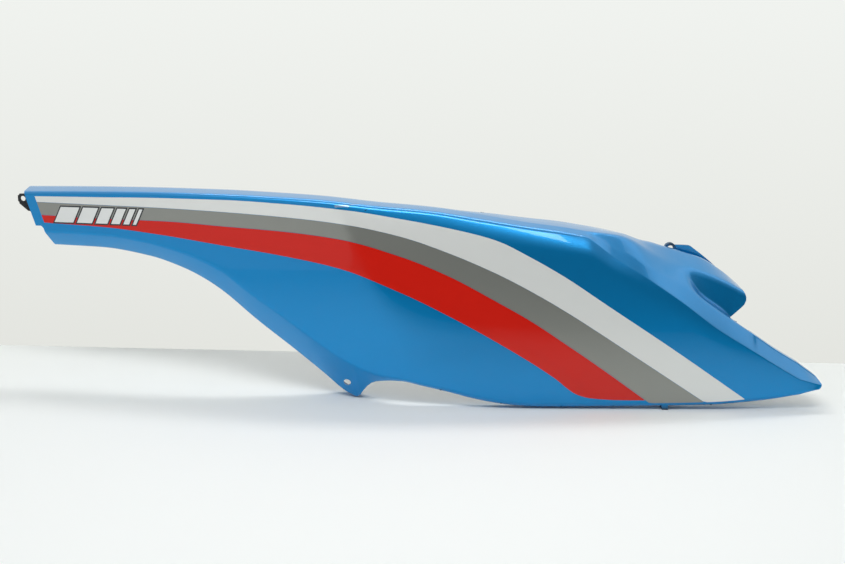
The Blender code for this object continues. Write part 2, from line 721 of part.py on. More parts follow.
def boolean(obj, name, operation, collection):
    modifier = obj.modifiers.new(name, "BOOLEAN")
    modifier.operation = operation
    modifier.operand_type = "COLLECTION"
    modifier.collection = collection


def stand_on_origin(objects):
    """Turn the panel until its foot and peak are level, with the origin under the middle of its box."""
    depsgraph = bpy.context.evaluated_depsgraph_get()
    corners = []
    for obj in objects:
        mesh = obj.evaluated_get(depsgraph).to_mesh()
        corners += [v.co.copy() for v in mesh.vertices]
    foot_x, foot_z = (along(FOOT_AT) - FOOT_WIDTH / 2) * MM, FOOT_LOW * MM
    slope = min((c.z - foot_z) / (foot_x - c.x) for c in corners if c.x < along(RIDGE_AT) * MM)
    frame = bpy.data.objects.new("panel_frame", None)
    bpy.data.collections["scooter_side_panel"].objects.link(frame)
    frame.rotation_euler = (0, -math.atan(slope), 0)
    turned = [frame.rotation_euler.to_matrix() @ c for c in corners]
    low = Vector([min(c[i] for c in turned) for i in range(3)])
    high = Vector([max(c[i] for c in turned) for i in range(3)])
    frame.location = (-(low.x + high.x) / 2, -(low.y + high.y) / 2, -low.z)
    for obj in bpy.data.objects:
        if obj is not frame:
            obj.parent = frame


def main():
    clear_scene()
    parts = new_collection("scooter_side_panel")
    fused = new_collection("fused_features")
    cutters = new_collection("cutters")

    panel = add_object("side_panel", skin_mesh(), parts)
    panel.data.materials.append(paint("blue_metallic", PAINT, 0.28, 0.6))
    add_ear(fused, cutters)
    add_upstand(fused, cutters)
    add_foot(fused)
    add_cuts(cutters)
    for number in range(len(BOSSES)):
        add_boss(number, fused, cutters)
    for number in range(len(LOW_RIBS)):
        add_low_rib(number, fused)
    for number in range(len(HOOKS)):
        add_hook(number, fused)
    boolean(panel, "features", "UNION", fused)
    boolean(panel, "cuts", "DIFFERENCE", cutters)

    films = (("stripe_white", WHITE_TOP, GREY_TOP, SILVER_WHITE, 0.25),
             ("stripe_grey", GREY_TOP, RED_TOP, GUNMETAL, 0.5),
             ("stripe_red", RED_TOP, RED_BOTTOM, SIGNAL_RED, 0.0))
    pieces = [panel]
    for name, upper, lower, colour, metallic in films:
        film = add_object(name, film_mesh(name, upper, lower), parts)
        film.data.materials.append(paint(name + "_film", colour, 0.35, metallic))
        solidify(film, FILM_THICKNESS, 1)
        pieces.append(film)
    stand_on_origin(pieces)


main()
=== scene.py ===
# %% [markdown]
# # A scooter side panel
#
# The object is one moulded plastic skin, painted metallic blue under clear coat, with three curved stripe
# films on its face, a black screw ear at the tail and a scooped fin with a screw lug behind it. The script
# builds it as a maker would: first the outlines on a drawing sheet, then sections across the panel, then
# the skin through the sections, then the small moulded features, the films and at last the finishes and the
# studio.
#
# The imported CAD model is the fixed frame. It is loaded first, and its box is kept, because the visual model
# has to have the same size.

# %% Load the frame
import json
import math

import bmesh
import bpy
import numpy as np
from mathutils import Matrix, Vector
from mathutils.bvhtree import BVHTree
from mathutils.kdtree import KDTree

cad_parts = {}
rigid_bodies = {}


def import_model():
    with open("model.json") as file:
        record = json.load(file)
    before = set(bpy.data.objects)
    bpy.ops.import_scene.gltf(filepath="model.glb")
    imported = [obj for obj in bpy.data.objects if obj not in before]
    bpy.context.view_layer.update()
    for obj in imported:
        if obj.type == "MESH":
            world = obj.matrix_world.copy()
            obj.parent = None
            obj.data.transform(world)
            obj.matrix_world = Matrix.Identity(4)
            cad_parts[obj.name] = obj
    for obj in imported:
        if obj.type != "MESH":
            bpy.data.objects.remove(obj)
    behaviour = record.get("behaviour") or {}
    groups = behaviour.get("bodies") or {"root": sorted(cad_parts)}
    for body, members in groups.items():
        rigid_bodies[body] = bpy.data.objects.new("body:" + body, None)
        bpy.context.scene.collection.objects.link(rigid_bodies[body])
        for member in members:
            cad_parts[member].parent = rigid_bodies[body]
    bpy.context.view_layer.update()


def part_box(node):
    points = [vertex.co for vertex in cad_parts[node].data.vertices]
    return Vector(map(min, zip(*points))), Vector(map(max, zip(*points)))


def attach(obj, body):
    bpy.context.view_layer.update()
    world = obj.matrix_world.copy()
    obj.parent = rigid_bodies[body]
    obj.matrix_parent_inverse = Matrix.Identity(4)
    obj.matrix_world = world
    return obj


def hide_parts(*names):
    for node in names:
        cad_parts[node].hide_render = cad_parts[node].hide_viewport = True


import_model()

MM = 0.001

# %% [markdown]
# ## The drawing sheet
#
# A panel like this starts as a side view. Each edge and crease is a curve given by a few heights along the
# length, in millimetres. A monotone cubic runs through them: it is smooth and never overshoots, so a crease
# stays as calm as it is drawn. A Bézier curve would do as well, but a height for each place along the panel
# is easier to use when the sections are made.

# %% A curve through heights
HEIGHT = 211.0
SHEET_HEIGHT = 212.0


def smooth_line(points):
    """A curve through (x, value) points that never overshoots them (monotone cubic)."""
    xs, ys = (np.array(column, float) for column in zip(*points))
    steps = np.diff(xs)
    slopes = np.diff(ys) / steps
    tangents = np.empty(len(xs))
    tangents[0], tangents[-1] = slopes[0], slopes[-1]
    for i in range(1, len(xs) - 1):
        before, after = slopes[i - 1], slopes[i]
        tangents[i] = 2 * before * after / (before + after) if before * after > 0 else 0.0

    def value(x):
        if x <= xs[0]:
            return float(ys[0] + tangents[0] * (x - xs[0]))
        if x >= xs[-1]:
            return float(ys[-1] + tangents[-1] * (x - xs[-1]))
        i = int(np.searchsorted(xs, x)) - 1
        t = (x - xs[i]) / steps[i]
        rise = steps[i] * ((t ** 3 - 2 * t ** 2 + t) * tangents[i] + (t ** 3 - t ** 2) * tangents[i + 1])
        return float((2 * t ** 3 - 3 * t ** 2 + 1) * ys[i] + (3 * t ** 2 - 2 * t ** 3) * ys[i + 1] + rise)

    return value


def up(z):
    """A height on the sheet, stretched to the real height."""
    return z * HEIGHT / SHEET_HEIGHT


def outline(*points):
    return smooth_line([(x, up(z)) for x, z in points])


def amount(*points):
    return smooth_line(points)


# %% Edges and creases of the face
BOTTOM_EDGE = outline((20, 146.5), (72, 145.5), (123, 138.5), (156, 128.5), (178, 118.5), (199, 105.5),
                      (235, 76), (277, 43.6), (302, 23.2), (321, 7), (330, 1.6), (335, -0.4), (338.5, 2.4),
                      (343.5, 10.5), (350, 17.8), (357, 21.3), (370, 23.5), (380, 24), (403, 19.5),
                      (427, 14), (451, 7.5), (475, 2.6), (499, -0.4), (520, -1.5), (560, -1.8), (640, -1.8),
                      (690, -1.2), (727, 1.5), (751, 4.5), (775, 8.5), (795, 11))
CHAMFER_EDGE = outline((18, 163), (76, 162), (118, 157), (160, 147), (203, 129), (221, 114.5), (259, 89),
                       (300, 60), (321, 46.5), (342, 36), (356, 31), (380, 28), (403, 23.5), (427, 18.5),
                       (451, 12), (475, 7), (499, 4.1), (520, 3), (560, 2.7), (640, 2.7), (690, 3.3),
                       (727, 6), (751, 8.5), (775, 12), (795, 14.5))
SHOULDER = outline((-5, 203), (77, 205), (140, 206), (202, 206), (253, 205), (306, 203), (358, 197.5),
                   (410, 192.5), (458, 184.5), (508, 176), (538, 171.5), (561, 167), (568, 164.8),
                   (574, 160.5), (589, 148.5), (616, 132), (638, 117.5), (657, 104.5), (695, 76),
                   (725, 57.5), (755, 39), (776, 26.5), (795, 16.5))
TOP_LINE = outline((-5, 205.6), (77, 207.4), (140, 208), (202, 207.7), (253, 206.4), (306, 204.2),
                   (358, 198.7), (410, 193.8), (458, 187), (508, 179), (540, 174.7), (568, 170), (590, 167),
                   (603, 164), (616, 158), (628, 150), (640, 142.5), (652, 136.5), (665, 131.5),
                   (684, 125.5), (697, 121), (711, 115), (722, 109), (731, 104))

# %% Edges of the stripes
WHITE_TOP = outline((8, 199), (78, 200), (141, 201), (202, 201), (263, 199), (322, 195), (380, 186),
                    (427, 177), (474, 165), (509, 148), (544, 128), (580, 104), (652, 56), (725, 5))
GREY_TOP = outline((10, 193), (77, 192), (140, 191), (202, 189), (263, 186), (322, 181), (380, 169),
                   (427, 153), (474, 133), (509, 115), (545, 94), (617, 47), (683, 3))
RED_TOP = outline((15, 180), (77, 178.5), (140, 178), (202, 175), (262, 172), (322, 166), (380, 150),
                  (427, 131), (474, 106), (509, 86), (545, 62), (581, 37), (626, 4))
RED_BOTTOM = outline((23, 172), (77, 170), (140, 164), (201, 156), (262, 148), (322, 137), (380, 115),
                     (427, 92), (474, 66), (534, 28), (546, 18), (555, 12), (570, 8), (598, 6), (626, 5.5))
print("face height at the middle:", round(SHOULDER(400) - CHAMFER_EDGE(400), 1), "mm")

# %% [markdown]
# ## The form of the face
#
# The real face leans back a little, bulges gently, and folds along one diagonal ridge: the tail half turns
# away to the back, the nose half runs nearly flat. Two sloping planes joined by a soft maximum give that
# ridge, crisp near the shoulder and fading below, and a shallow parabola gives the bulge. A formula for the
# depth of the face is worth having, because the films and marks that lie on the face can use it too.

# %% Depth of the face
WALL = 2.5
LEAN = 0.10
CROWN_RADIUS = 900.0
CROWN_HEIGHT = 60.0
RIDGE_AT = 353.0
RIDGE_SLANT = 0.437
RIDGE_SOFT_TOP = 0.5
RIDGE_SOFT_LOW = 4.0
RIDGE_FADE_FROM = 60.0
RIDGE_FADE_OVER = 90.0
ARM_RECESS = 0.19
NOSE_RECESS = 0.03
MID_HEIGHT = 125.0
ROLL_WIDTH = 18.0
FACE_ROLL = amount((100, 0.2), (300, 0.9), (380, 1.7), (430, 2.6), (500, 4.2), (540, 5.6), (558, 6.2),
                   (568, 6.0), (582, 4.8), (600, 3.2), (625, 1.8), (660, 0.8), (730, 0.3), (795, 0))
FLANGE_SHIFT = amount((300, 0), (430, 0.3), (500, 1), (566, 2.6), (600, 1.6), (660, 0.6), (730, 0.3),
                      (795, 0))


def ridge_x(z):
    return RIDGE_AT - RIDGE_SLANT * (z - MID_HEIGHT)


def face(x, z):
    """Depth of the outer face at a point of the side view."""
    tail_side = ARM_RECESS * (ridge_x(z) - x)
    nose_side = NOSE_RECESS * (x - ridge_x(z))
    share = min(max((z - RIDGE_FADE_FROM) / RIDGE_FADE_OVER, 0), 1)
    softness = RIDGE_SOFT_LOW + (RIDGE_SOFT_TOP - RIDGE_SOFT_LOW) * share
    fold = (tail_side + nose_side) / 2 + math.hypot((tail_side - nose_side) / 2, softness)
    return fold + LEAN * z + (z - CROWN_HEIGHT) ** 2 / (2 * CROWN_RADIUS)


def rolled_face(x, z):
    """The face with its soft roll just under the shoulder."""
    start = SHOULDER(x) - ROLL_WIDTH
    roll = max(z - start, 0) / ROLL_WIDTH
    return face(x, z) + FACE_ROLL(x) * roll ** 2


print("the tail lies", round(face(20, 180) - face(400, 180), 1), "mm deeper than the middle")

# %% [markdown]
# ## The camera
#
# The photograph looks down a little, from the side, from rather near. The camera is set up in the drawing's
# frame, where X runs along the panel. The real panel stands on its peak and its foot, so drawing and camera
# are turned together by less than a degree. That is why the far edge of the floor isn't quite level in the
# picture.

# %% Drawing frame and camera
IMAGE_WIDTH = 845
FOCAL_PIXELS = 1222.0
CAMERA_DISTANCE = 1200.0
CAMERA_RISE = math.radians(13)
CAMERA_TARGET = Vector((402, 20, 123.92))
PEAK_LOW = (335.0, up(-0.4))
FOOT_AT = 644.0
FOOT_WIDTH = 6.0
FOOT_LOW = -5.0

level_turn = math.atan((PEAK_LOW[1] - FOOT_LOW) / (FOOT_AT - FOOT_WIDTH / 2 - PEAK_LOW[0]))
turn = Matrix.Rotation(-level_turn, 4, "Y")
print("level turn:", round(math.degrees(level_turn), 3), "degrees")


def camera_in_drawing():
    """The camera's place and direction in the drawing's frame, in metres."""
    back = Vector((0, -math.cos(CAMERA_RISE), math.sin(CAMERA_RISE)))
    place = Matrix.Translation((CAMERA_TARGET + back * CAMERA_DISTANCE) * MM)
    return place @ Matrix.Rotation(math.radians(90) - CAMERA_RISE, 4, "X")


camera_data = bpy.data.cameras.new("camera")
camera_data.sensor_width = 36.0
camera_data.lens = FOCAL_PIXELS / IMAGE_WIDTH * camera_data.sensor_width
camera_data.clip_start = 0.05
camera = bpy.data.objects.new("camera", camera_data)
bpy.context.scene.collection.objects.link(camera)
bpy.context.scene.camera = camera

# %% [markdown]
# ## Sections
#
# At any place along the panel a cut across it shows the same run of corners: the free edge of the bottom
# flange, the bottom corner, the chamfer, the face, the shoulder, and then the top flange or the scooped
# wall of the fin. Each corner is rounded by a short curve. On the inner side a small corner stays sharp, as
# in a real moulding, so every row also carries the number of its inner corner.

# %% Bottom flange and upper sections
CORNER = 3.2
ARM_FLANGE = 8.0
PEAK_FLANGE = 17.0
BOTTOM_FLANGE = 12.0
NOSE_FLANGE = 12.0
FOLD_LEAN = 0.14
SLANT = amount((21, 0.372), (300, 0.437), (400, 0.437), (500, 0.2), (568, 0), (795, 0))
FOLD_DEPTH = amount((20, 14), (200, 14), (260, 17), (300, 19), (327, 20), (335, 20), (339, 17), (343, 14),
                    (349, 11), (367, 5), (380, 3.4), (410, 3.2), (700, 3.2), (760, 1.8), (795, 1.2))
FLANGE_DEPTH = amount((20, ARM_FLANGE), (250, ARM_FLANGE), (330, PEAK_FLANGE), (340, PEAK_FLANGE),
                      (380, BOTTOM_FLANGE), (795, BOTTOM_FLANGE))
SHOULDER_REACH = amount((0, 8), (430, 8), (540, 4.5), (568, 2), (600, 1.6), (795, 1.4))

# Between the shoulder and the top line lie the lip and the foot of the scoop's wall, each as (share of the
# way, drop below the straight way, rounding). Then come the wall's head as (inset from the face, rounding),
# and the crown and the free edge as (inset, rise, rounding).
UPPER_SECTIONS = (
    (-5, (0.8, 0, 1), (0.9, 0, 1), (20.5, 1), (22.5, 0, 1), (24.5, 0, 1)),
    (430, (0.8, 0, 1), (0.9, 0, 1), (20.5, 1), (22.5, 0, 1), (25, 0, 1)),
    (485, (0.75, 0, 1), (0.88, 0, 1), (18, 1), (27, 0.4, 2), (38, 0.4, 1)),
    (540, (0.6, 0, 1), (0.8, 0, 1), (16, 1.5), (30, 0.6, 3), (45, 0.6, 1)),
    (568, (0.35, 0, 1), (0.67, 0, 1), (16, 2), (31, 0.7, 4), (46, 0.5, 1)),
    (590, (0.33, -0.8, 2), (0.67, -0.6, 2), (20.5, 4), (36, 0.3, 5), (52, -1, 1)),
    (616, (0.34, -2.4, 3), (0.67, -2, 3), (26, 7), (46, 2.4, 7), (63, -2, 1)),
    (640, (0.42, -1.7, 4), (0.73, -1.1, 4), (33, 8), (57, 10.2, 8), (72, 6, 1)),
    (665, (0.47, -2, 4), (0.79, -1.2, 3), (37.5, 6), (64, 13.2, 7), (75, 9, 1)),
    (684, (0.45, 0.5, 4), (0.81, 13.5, 3.5), (37.5, 5), (65, 13.4, 7), (76, 8.8, 1)),
    (711, (0.44, 4, 4), (0.81, 20.5, 3.5), (38.5, 6), (66, 7.5, 7), (77, 2.5, 1)),
    (731, (0.46, 6, 4), (0.82, 25, 3.5), (39, 6), (67, -2, 7), (78, -7, 1)),
)
FIN_END = 731.0
FIN_PULL_FROM = 700.0
FIN_PULL = (0, -13, 3, 4, 4)
STRIP_INSET = amount((731, 18), (763, 18), (779, 17))
STRIP_RISE = amount((731, 16.6), (763, 14.5), (779, 14.5))
STRIP_ROUND = 3.0


def drawn(corner, item):
    """One value of the upper sections as a line along the panel."""
    return amount(*((entry[0], entry[corner][item]) for entry in UPPER_SECTIONS))


LIP, WALL_FOOT, HEAD, CROWN, FREE = (
    [drawn(corner, item) for item in range(len(UPPER_SECTIONS[0][corner]))] for corner in range(1, 6))

# %% Places on a slanted station line
CROSSING_STEPS = 25


def meet(station, line):
    """Where a station line crosses an outline."""
    x = station
    for _ in range(CROSSING_STEPS):
        x = station + SLANT(station) * (MID_HEIGHT - line(x))
    return x, line(x)


def on_station(station, z):
    x = station + SLANT(station) * (MID_HEIGHT - z)
    return Vector((x, rolled_face(x, z), z))


# %% Rounding a corner
ROUND_LIMIT = 0.49
SOFT_REACH = 4.2


def rounded(before, corner, after, reach, count):
    """Points round a corner, and whether it stays sharp on the inner side."""
    reach = min(reach, ROUND_LIMIT * (before - corner).length, ROUND_LIMIT * (after - corner).length)
    start = corner + (before - corner).normalized() * reach
    end = corner + (after - corner).normalized() * reach
    points = []
    for i in range(count):
        t = i / (count - 1)
        points.append(start * (1 - t) ** 2 + corner * 2 * t * (1 - t) + end * t ** 2)
    return points, reach < SOFT_REACH


# %% The corners of a section
FLANGE_RISE = 0.4


def lower_corners(station):
    """Free edge, bottom corner and chamfer corner of a section."""
    x, z = meet(station, CHAMFER_EDGE)
    chamfer = Vector((x, face(x, z), z))
    low_x = x
    for _ in range(CROSSING_STEPS):
        low_x = x + FOLD_LEAN * (z - BOTTOM_EDGE(low_x))
    bottom = Vector((low_x, chamfer.y + FOLD_DEPTH(low_x), BOTTOM_EDGE(low_x)))
    free = bottom + Vector((0, FLANGE_DEPTH(low_x), FLANGE_RISE))
    return free, bottom, chamfer


def upper_corners(station):
    """The shoulder corner, then (corner, rounding) for the rest of the upper section."""
    x, z = meet(station, SHOULDER)
    shoulder = Vector((x, rolled_face(x, z), z))
    if x > FIN_END:
        lip = shoulder + Vector((0, STRIP_INSET(x), STRIP_RISE(x)))
        return shoulder, [(lip, STRIP_ROUND), (lip + Vector((0, NOSE_FLANGE, 0)), 0)]
    start = face(x, z) + FLANGE_SHIFT(x)
    head = Vector((x, start + HEAD[0](x), TOP_LINE(x)))
    corners = []
    for share, drop, rounding in (LIP, WALL_FOOT):
        corners.append((shoulder.lerp(head, share(x)) - Vector((0, 0, drop(x))), rounding(x)))
    corners.append((head, HEAD[1](x)))
    for inset, rise, rounding in (CROWN, FREE):
        corners.append((Vector((x, start + inset(x), head.z + rise(x))), rounding(x)))
    ramp = min(max((x - FIN_PULL_FROM) / (FIN_END - FIN_PULL_FROM), 0), 1) ** 2
    pulled = [(corner + Vector((pull * ramp, 0, 0)), rounding)
              for (corner, rounding), pull in zip(corners, FIN_PULL)]
    return shoulder, pulled


# %% A whole section
CORNER_ROWS = 6
FACE_ROWS = 22
SHOULDER_ROWS = 9
EDGE_ROW = CORNER_ROWS
LIP_ROW = 1 + 2 * CORNER_ROWS + FACE_ROWS + SHOULDER_ROWS
CHAMFER_REACH = 4.5
CHAMFER_SHARE = 0.42
BOTTOM_STRETCH = 1.2


def section(station):
    """One section of the outer skin, from the bottom flange's free edge to the top flange's."""
    free, bottom, chamfer = lower_corners(station)
    shoulder, corners = upper_corners(station)
    low_reach = min(CHAMFER_REACH, CHAMFER_SHARE * (chamfer - bottom).length)
    face_low = on_station(station, chamfer.z + low_reach)
    face_high = on_station(station, shoulder.z - SHOULDER_REACH(shoulder.x))
    rows = [(free, 0)]

    def add(points, one_corner):
        for i, point in enumerate(points):
            same = one_corner and i > 0
            rows.append((point, rows[-1][1] if same else rows[-1][1] + 1))

    add(*rounded(free, bottom, chamfer, min(CORNER, low_reach * BOTTOM_STRETCH), CORNER_ROWS))
    add(*rounded(bottom, chamfer, face_low, low_reach, CORNER_ROWS))
    for i in range(1, FACE_ROWS + 1):
        share = i / (FACE_ROWS + 1)
        add([on_station(station, face_low.z + (face_high.z - face_low.z) * share)], False)
    add(*rounded(face_high, shoulder, corners[0][0], SHOULDER_REACH(shoulder.x), SHOULDER_ROWS))
    before = shoulder
    for (corner, rounding), (after, _) in zip(corners, corners[1:]):
        add(*rounded(before, corner, after, rounding, CORNER_ROWS))
        before = corner
    add([corners[-1][0]], False)
    return rows


print("rows in a section at the shoulder's middle:", len(section(400.0)))

# %% [markdown]
# ## The skin
#
# The sections are joined into one surface. They stand close together where the form turns quickly: at the
# peak, at the ridge and along the fin. At the nose the last sections bend into an arc round the tip. A
# subdivision surface would also be smooth, but it would pull the crisp crease away from its line, so the
# sections are simply dense.

# %% Stations and the nose
FINENESS = 2.4
SPANS = ((21.2, 262, 17), (262, 268, 2), (268, 300, 12), (300, 343, 4), (343, 363, 6), (363, 560, 13),
         (560, 576, 3), (576, 632, 5), (632, FIN_END, 11), (FIN_END, 778, 5))
NOSE_START = 778.0
TIP_CENTRE = (795.3, up(19.7))
TIP_RADIUS = 4.6
TIP_ANGLES = (math.radians(-70), math.radians(54))
NOSE_STEPS = (0.4, 0.7, 0.9, 1.0)
NOSE_LOW_ROWS = (1, 15, 30, 30)


def stations():
    places = []
    for start, end, count in SPANS:
        fine = round(count * FINENESS)
        places += [start + (end - start) * i / fine for i in range(fine)]
    return places + [NOSE_START]


def nose_section(share):
    """A section between the straight one at the nose and the arc of the tip, up to the lip."""
    start = section(NOSE_START)[EDGE_ROW:LIP_ROW + 1]
    low, high = start[0][0].z, start[-1][0].z
    rows = []
    for point, corner in start:
        t = (point.z - low) / (high - low)
        angle = TIP_ANGLES[0] + (TIP_ANGLES[1] - TIP_ANGLES[0]) * t
        x = TIP_CENTRE[0] + TIP_RADIUS * math.cos(angle)
        z = TIP_CENTRE[1] + TIP_RADIUS * math.sin(angle)
        tip = Vector((x, point.y + NOSE_RECESS * (x - point.x), z))
        rows.append((point.lerp(tip, share), corner))
    return rows


# %% The outer surface
EDGE_SWELL = 0.35


def turned_in(points, outward, depth, corner):
    """Rows that turn an edge to the back: a rounded corner, then the free edge."""
    rows = []
    for k in range(1, CORNER_ROWS):
        t = k / (CORNER_ROWS - 1)
        out_share = 1 - (1 - t) ** 2
        back = Vector((0, corner * t ** 2, 0))
        rows.append([p + out * corner * out_share + back for p, out in zip(points, outward)])
    rows.append([p + out * corner + Vector((0, depth, 0)) for p, out in zip(points, outward)])
    return rows


def outer_skin(bm):
    """The outer surface in a bmesh, and for each vertex the inner corner it belongs to."""
    places = stations()
    fin_end = places.index(FIN_END)
    inner = {}

    def add(point, corner):
        vert = bm.verts.new(point * MM)
        inner[vert] = corner
        return vert

    def strip(a, b):
        for i in range(min(len(a), len(b)) - 1):
            bm.faces.new((a[i], b[i], b[i + 1], a[i + 1]))

    columns = []
    for j, place in enumerate(places):
        rows = section(place)
        if j > fin_end:
            rows = rows[:LIP_ROW + 1]
        columns.append([add(point, ("column", j, corner)) for point, corner in rows])
    for a, b in zip(columns, columns[1:]):
        strip(a, b)

    nose = [columns[-1][EDGE_ROW:LIP_ROW + 1]]
    for j, share in enumerate(NOSE_STEPS):
        rows = nose_section(share)
        low = NOSE_LOW_ROWS[j]
        rows = [(point, rows[0][1] if i < low else corner) for i, (point, corner) in enumerate(rows)]
        nose.append([add(point, ("nose", j, corner)) for point, corner in rows])
    for a, b in zip(nose, nose[1:]):
        strip(a, b)

    # The nose flange runs along the bottom, round the tip and back along the strip to the fin
    top_run = [column[LIP_ROW] for column in columns[fin_end:]] + [column[-1] for column in nose[1:-1]]
    bottom_run = [column[0] for column in nose[1:-1]]
    rim = bottom_run + nose[-1] + top_run[::-1]
    points = [v.co / MM for v in rim]
    outward = []
    for i in range(len(points)):
        a = points[max(i - 1, 0)]
        b = points[min(i + 1, len(points) - 1)]
        tangent = Vector((b.x - a.x, 0, b.z - a.z)).normalized()
        outward.append(Vector((tangent.z, 0, -tangent.x)) * EDGE_SWELL)
    rings = [rim]
    rounds = CORNER_ROWS - 1
    for k, ring in enumerate(turned_in(points, outward, NOSE_FLANGE, CORNER)):
        row = []
        for i, point in enumerate(ring):
            if k < rounds and i == len(ring) - 1:
                row.append(columns[fin_end][LIP_ROW + 1 + k])
            else:
                row.append(add(point, inner[rim[i]] if k < rounds else ("free", *inner[rim[i]])))
        rings.append(row)
    for lower, upper in zip(rings, rings[1:]):
        for i in range(len(rim) - 1):
            bm.faces.new((lower[i], lower[i + 1], upper[i + 1], upper[i]))
    first = [columns[-1][k] for k in range(EDGE_ROW, -1, -1)]
    for k in range(CORNER_ROWS):
        bm.faces.new((first[k], rings[k][0], rings[k + 1][0], first[k + 1]))
    return inner


# %% [markdown]
# ## The wall
#
# The back of the skin is seen as often as its face when the part lies in a library, so the wall is real:
# each inner point lies one wall's thickness behind the planes of the faces round it. A Solidify modifier
# does nearly the same, but it crosses itself in tight corners. Here the rows of a small corner share one
# inner point.

# %% The inner surface
CORNER_WEIGHT = 0.2


def inner_point(verts, faces):
    """A point one wall's thickness behind the planes of the faces round a corner."""
    middle = sum((v.co for v in verts), Vector()) / len(verts)
    normal = sum((f.normal * f.calc_area() for f in faces), Vector()).normalized()
    start = np.array(middle - normal * WALL * MM)
    matrix = [np.eye(3) * CORNER_WEIGHT]
    values = [start * CORNER_WEIGHT]
    for near in faces:
        own = [v.co for v in near.verts if v in verts]
        through = np.array(sum(own, Vector()) / len(own))
        n = np.array(near.normal)
        matrix.append(n[None, :])
        values.append(np.array([n @ through - WALL * MM]))
    solution = np.linalg.lstsq(np.vstack(matrix), np.concatenate(values), rcond=None)[0]
    return Vector(solution.tolist())


def skin_mesh():
    """The skin as a closed wall, with a BVH of its outer surface and a KD tree of its rim."""
    bm = bmesh.new()
    inner = outer_skin(bm)
    bmesh.ops.recalc_face_normals(bm, faces=bm.faces)
    if sum(f.normal.y * f.calc_area() for f in bm.faces) > 0:
        bmesh.ops.reverse_faces(bm, faces=bm.faces)
    bm.normal_update()
    outer_tree = BVHTree.FromBMesh(bm)
    rims = [[loop.vert for loop in (edge.link_loops[0], edge.link_loops[0].link_loop_next)]
            for edge in bm.edges if edge.is_boundary]
    groups = {}
    for vert, corner in inner.items():
        groups.setdefault(corner, []).append(vert)
    main_faces = [f for f in bm.faces if len({inner[v] for v in f.verts}) > 2]
    around = {corner: [] for corner in groups}
    for f in main_faces:
        for corner in {inner[v] for v in f.verts}:
            around[corner].append(f)
    made = {corner: bm.verts.new(inner_point(verts, around[corner])) for corner, verts in groups.items()}

    def close(verts):
        ring = []
        for vert in verts:
            if vert not in ring:
                ring.append(vert)
        if len(ring) > 2:
            bm.faces.new(ring)

    for f in main_faces:
        close([made[inner[v]] for v in reversed(f.verts)])
    for a, b in rims:
        close([b, a, made[inner[a]], made[inner[b]]])
    rim_tree = KDTree(len(rims))
    for i, (a, _) in enumerate(rims):
        rim_tree.insert(a.co, i)
    rim_tree.balance()
    mesh = bpy.data.meshes.new("skin")
    bm.to_mesh(mesh)
    bm.free()
    return mesh, outer_tree, rim_tree


skin, outer_tree, rim_tree = skin_mesh()
print("skin:", len(skin.polygons), "faces")

# %% [markdown]
# ## Moulded features
#
# Behind the skin sit the parts that carry it: the screw ear at the tail, the low wall and its screw lug
# behind the fin, four screw bosses with gussets, ribs above the bottom flange, tongues under the top flange
# and the foot. Each is a small solid that a boolean joins to the skin, and the screw holes are cut with
# round cutters, as drills would.

# %% Solids for the features
BEVEL_SEGMENTS = 4
ROD_SIDES = 48
CUT_PAST = 5.0


def new_object(name, mesh):
    obj = bpy.data.objects.new(name, mesh)
    bpy.context.scene.collection.objects.link(obj)
    return obj


def finish_bmesh(name, bm):
    bmesh.ops.recalc_face_normals(bm, faces=bm.faces)
    mesh = bpy.data.meshes.new(name)
    bm.to_mesh(mesh)
    bm.free()
    return new_object(name, mesh)


def slab(name, corners, start, end, axis, radius=0.0):
    """An outline, given in the other two axes, pulled along one axis, with its long edges rounded."""
    bm = bmesh.new()
    places = [(x, start, z) if axis == 1 else (start, x, z) for x, z in corners]
    bm.faces.new([bm.verts.new(Vector(place) * MM) for place in places])
    result = bmesh.ops.extrude_face_region(bm, geom=bm.faces[:])
    moved = [v for v in result["geom"] if isinstance(v, bmesh.types.BMVert)]
    shift = Vector((0, 0, 0))
    shift[axis] = (end - start) * MM
    bmesh.ops.translate(bm, verts=moved, vec=shift)
    if radius:
        runs = {e: abs(e.verts[0].co[axis] - e.verts[1].co[axis]) for e in bm.edges}
        long_edges = [e for e in bm.edges if runs[e] > shift.length / 2]
        bmesh.ops.bevel(bm, geom=long_edges, offset=radius * MM, segments=BEVEL_SEGMENTS, affect="EDGES")
    return finish_bmesh(name, bm)


def rod(name, x, z, front, back, diameter):
    """A round rod along Y."""
    bm = bmesh.new()
    bmesh.ops.create_cone(bm, cap_ends=True, segments=ROD_SIDES, radius1=diameter / 2 * MM,
                          radius2=diameter / 2 * MM, depth=(back - front) * MM)
    bmesh.ops.rotate(bm, verts=bm.verts, cent=(0, 0, 0), matrix=Matrix.Rotation(math.radians(90), 3, "X"))
    bmesh.ops.translate(bm, verts=bm.verts, vec=Vector((x, (front + back) / 2, z)) * MM)
    return finish_bmesh(name, bm)


fused = []
cutters = []

# %% The ear behind the tail end
EAR_OUTLINE = ((-17.5, 199), (-9, 199), (-4, 202.5), (10, 202.5), (10, 180), (-6.5, 180), (-17.5, 190))
EAR_HOLE_AT = (-12.5, 194)
EAR_HOLE = 5.6
EAR_DEPTH = 13.0
EAR_THICKNESS = 3.0
EAR_RIB_AT = 9.0
EAR_RIB_LOW = 172.0
EAR_RIB_HIGH = 202.5
EAR_RIB_TURN = 182.0
EAR_ROUND = 1.5
EAR_RIB_SINK = 1.2
RIB = 1.8


def skin_depth(x, z):
    """Depth of the outer face, taken at a place drawn on the sheet."""
    return rolled_face(x, up(z))


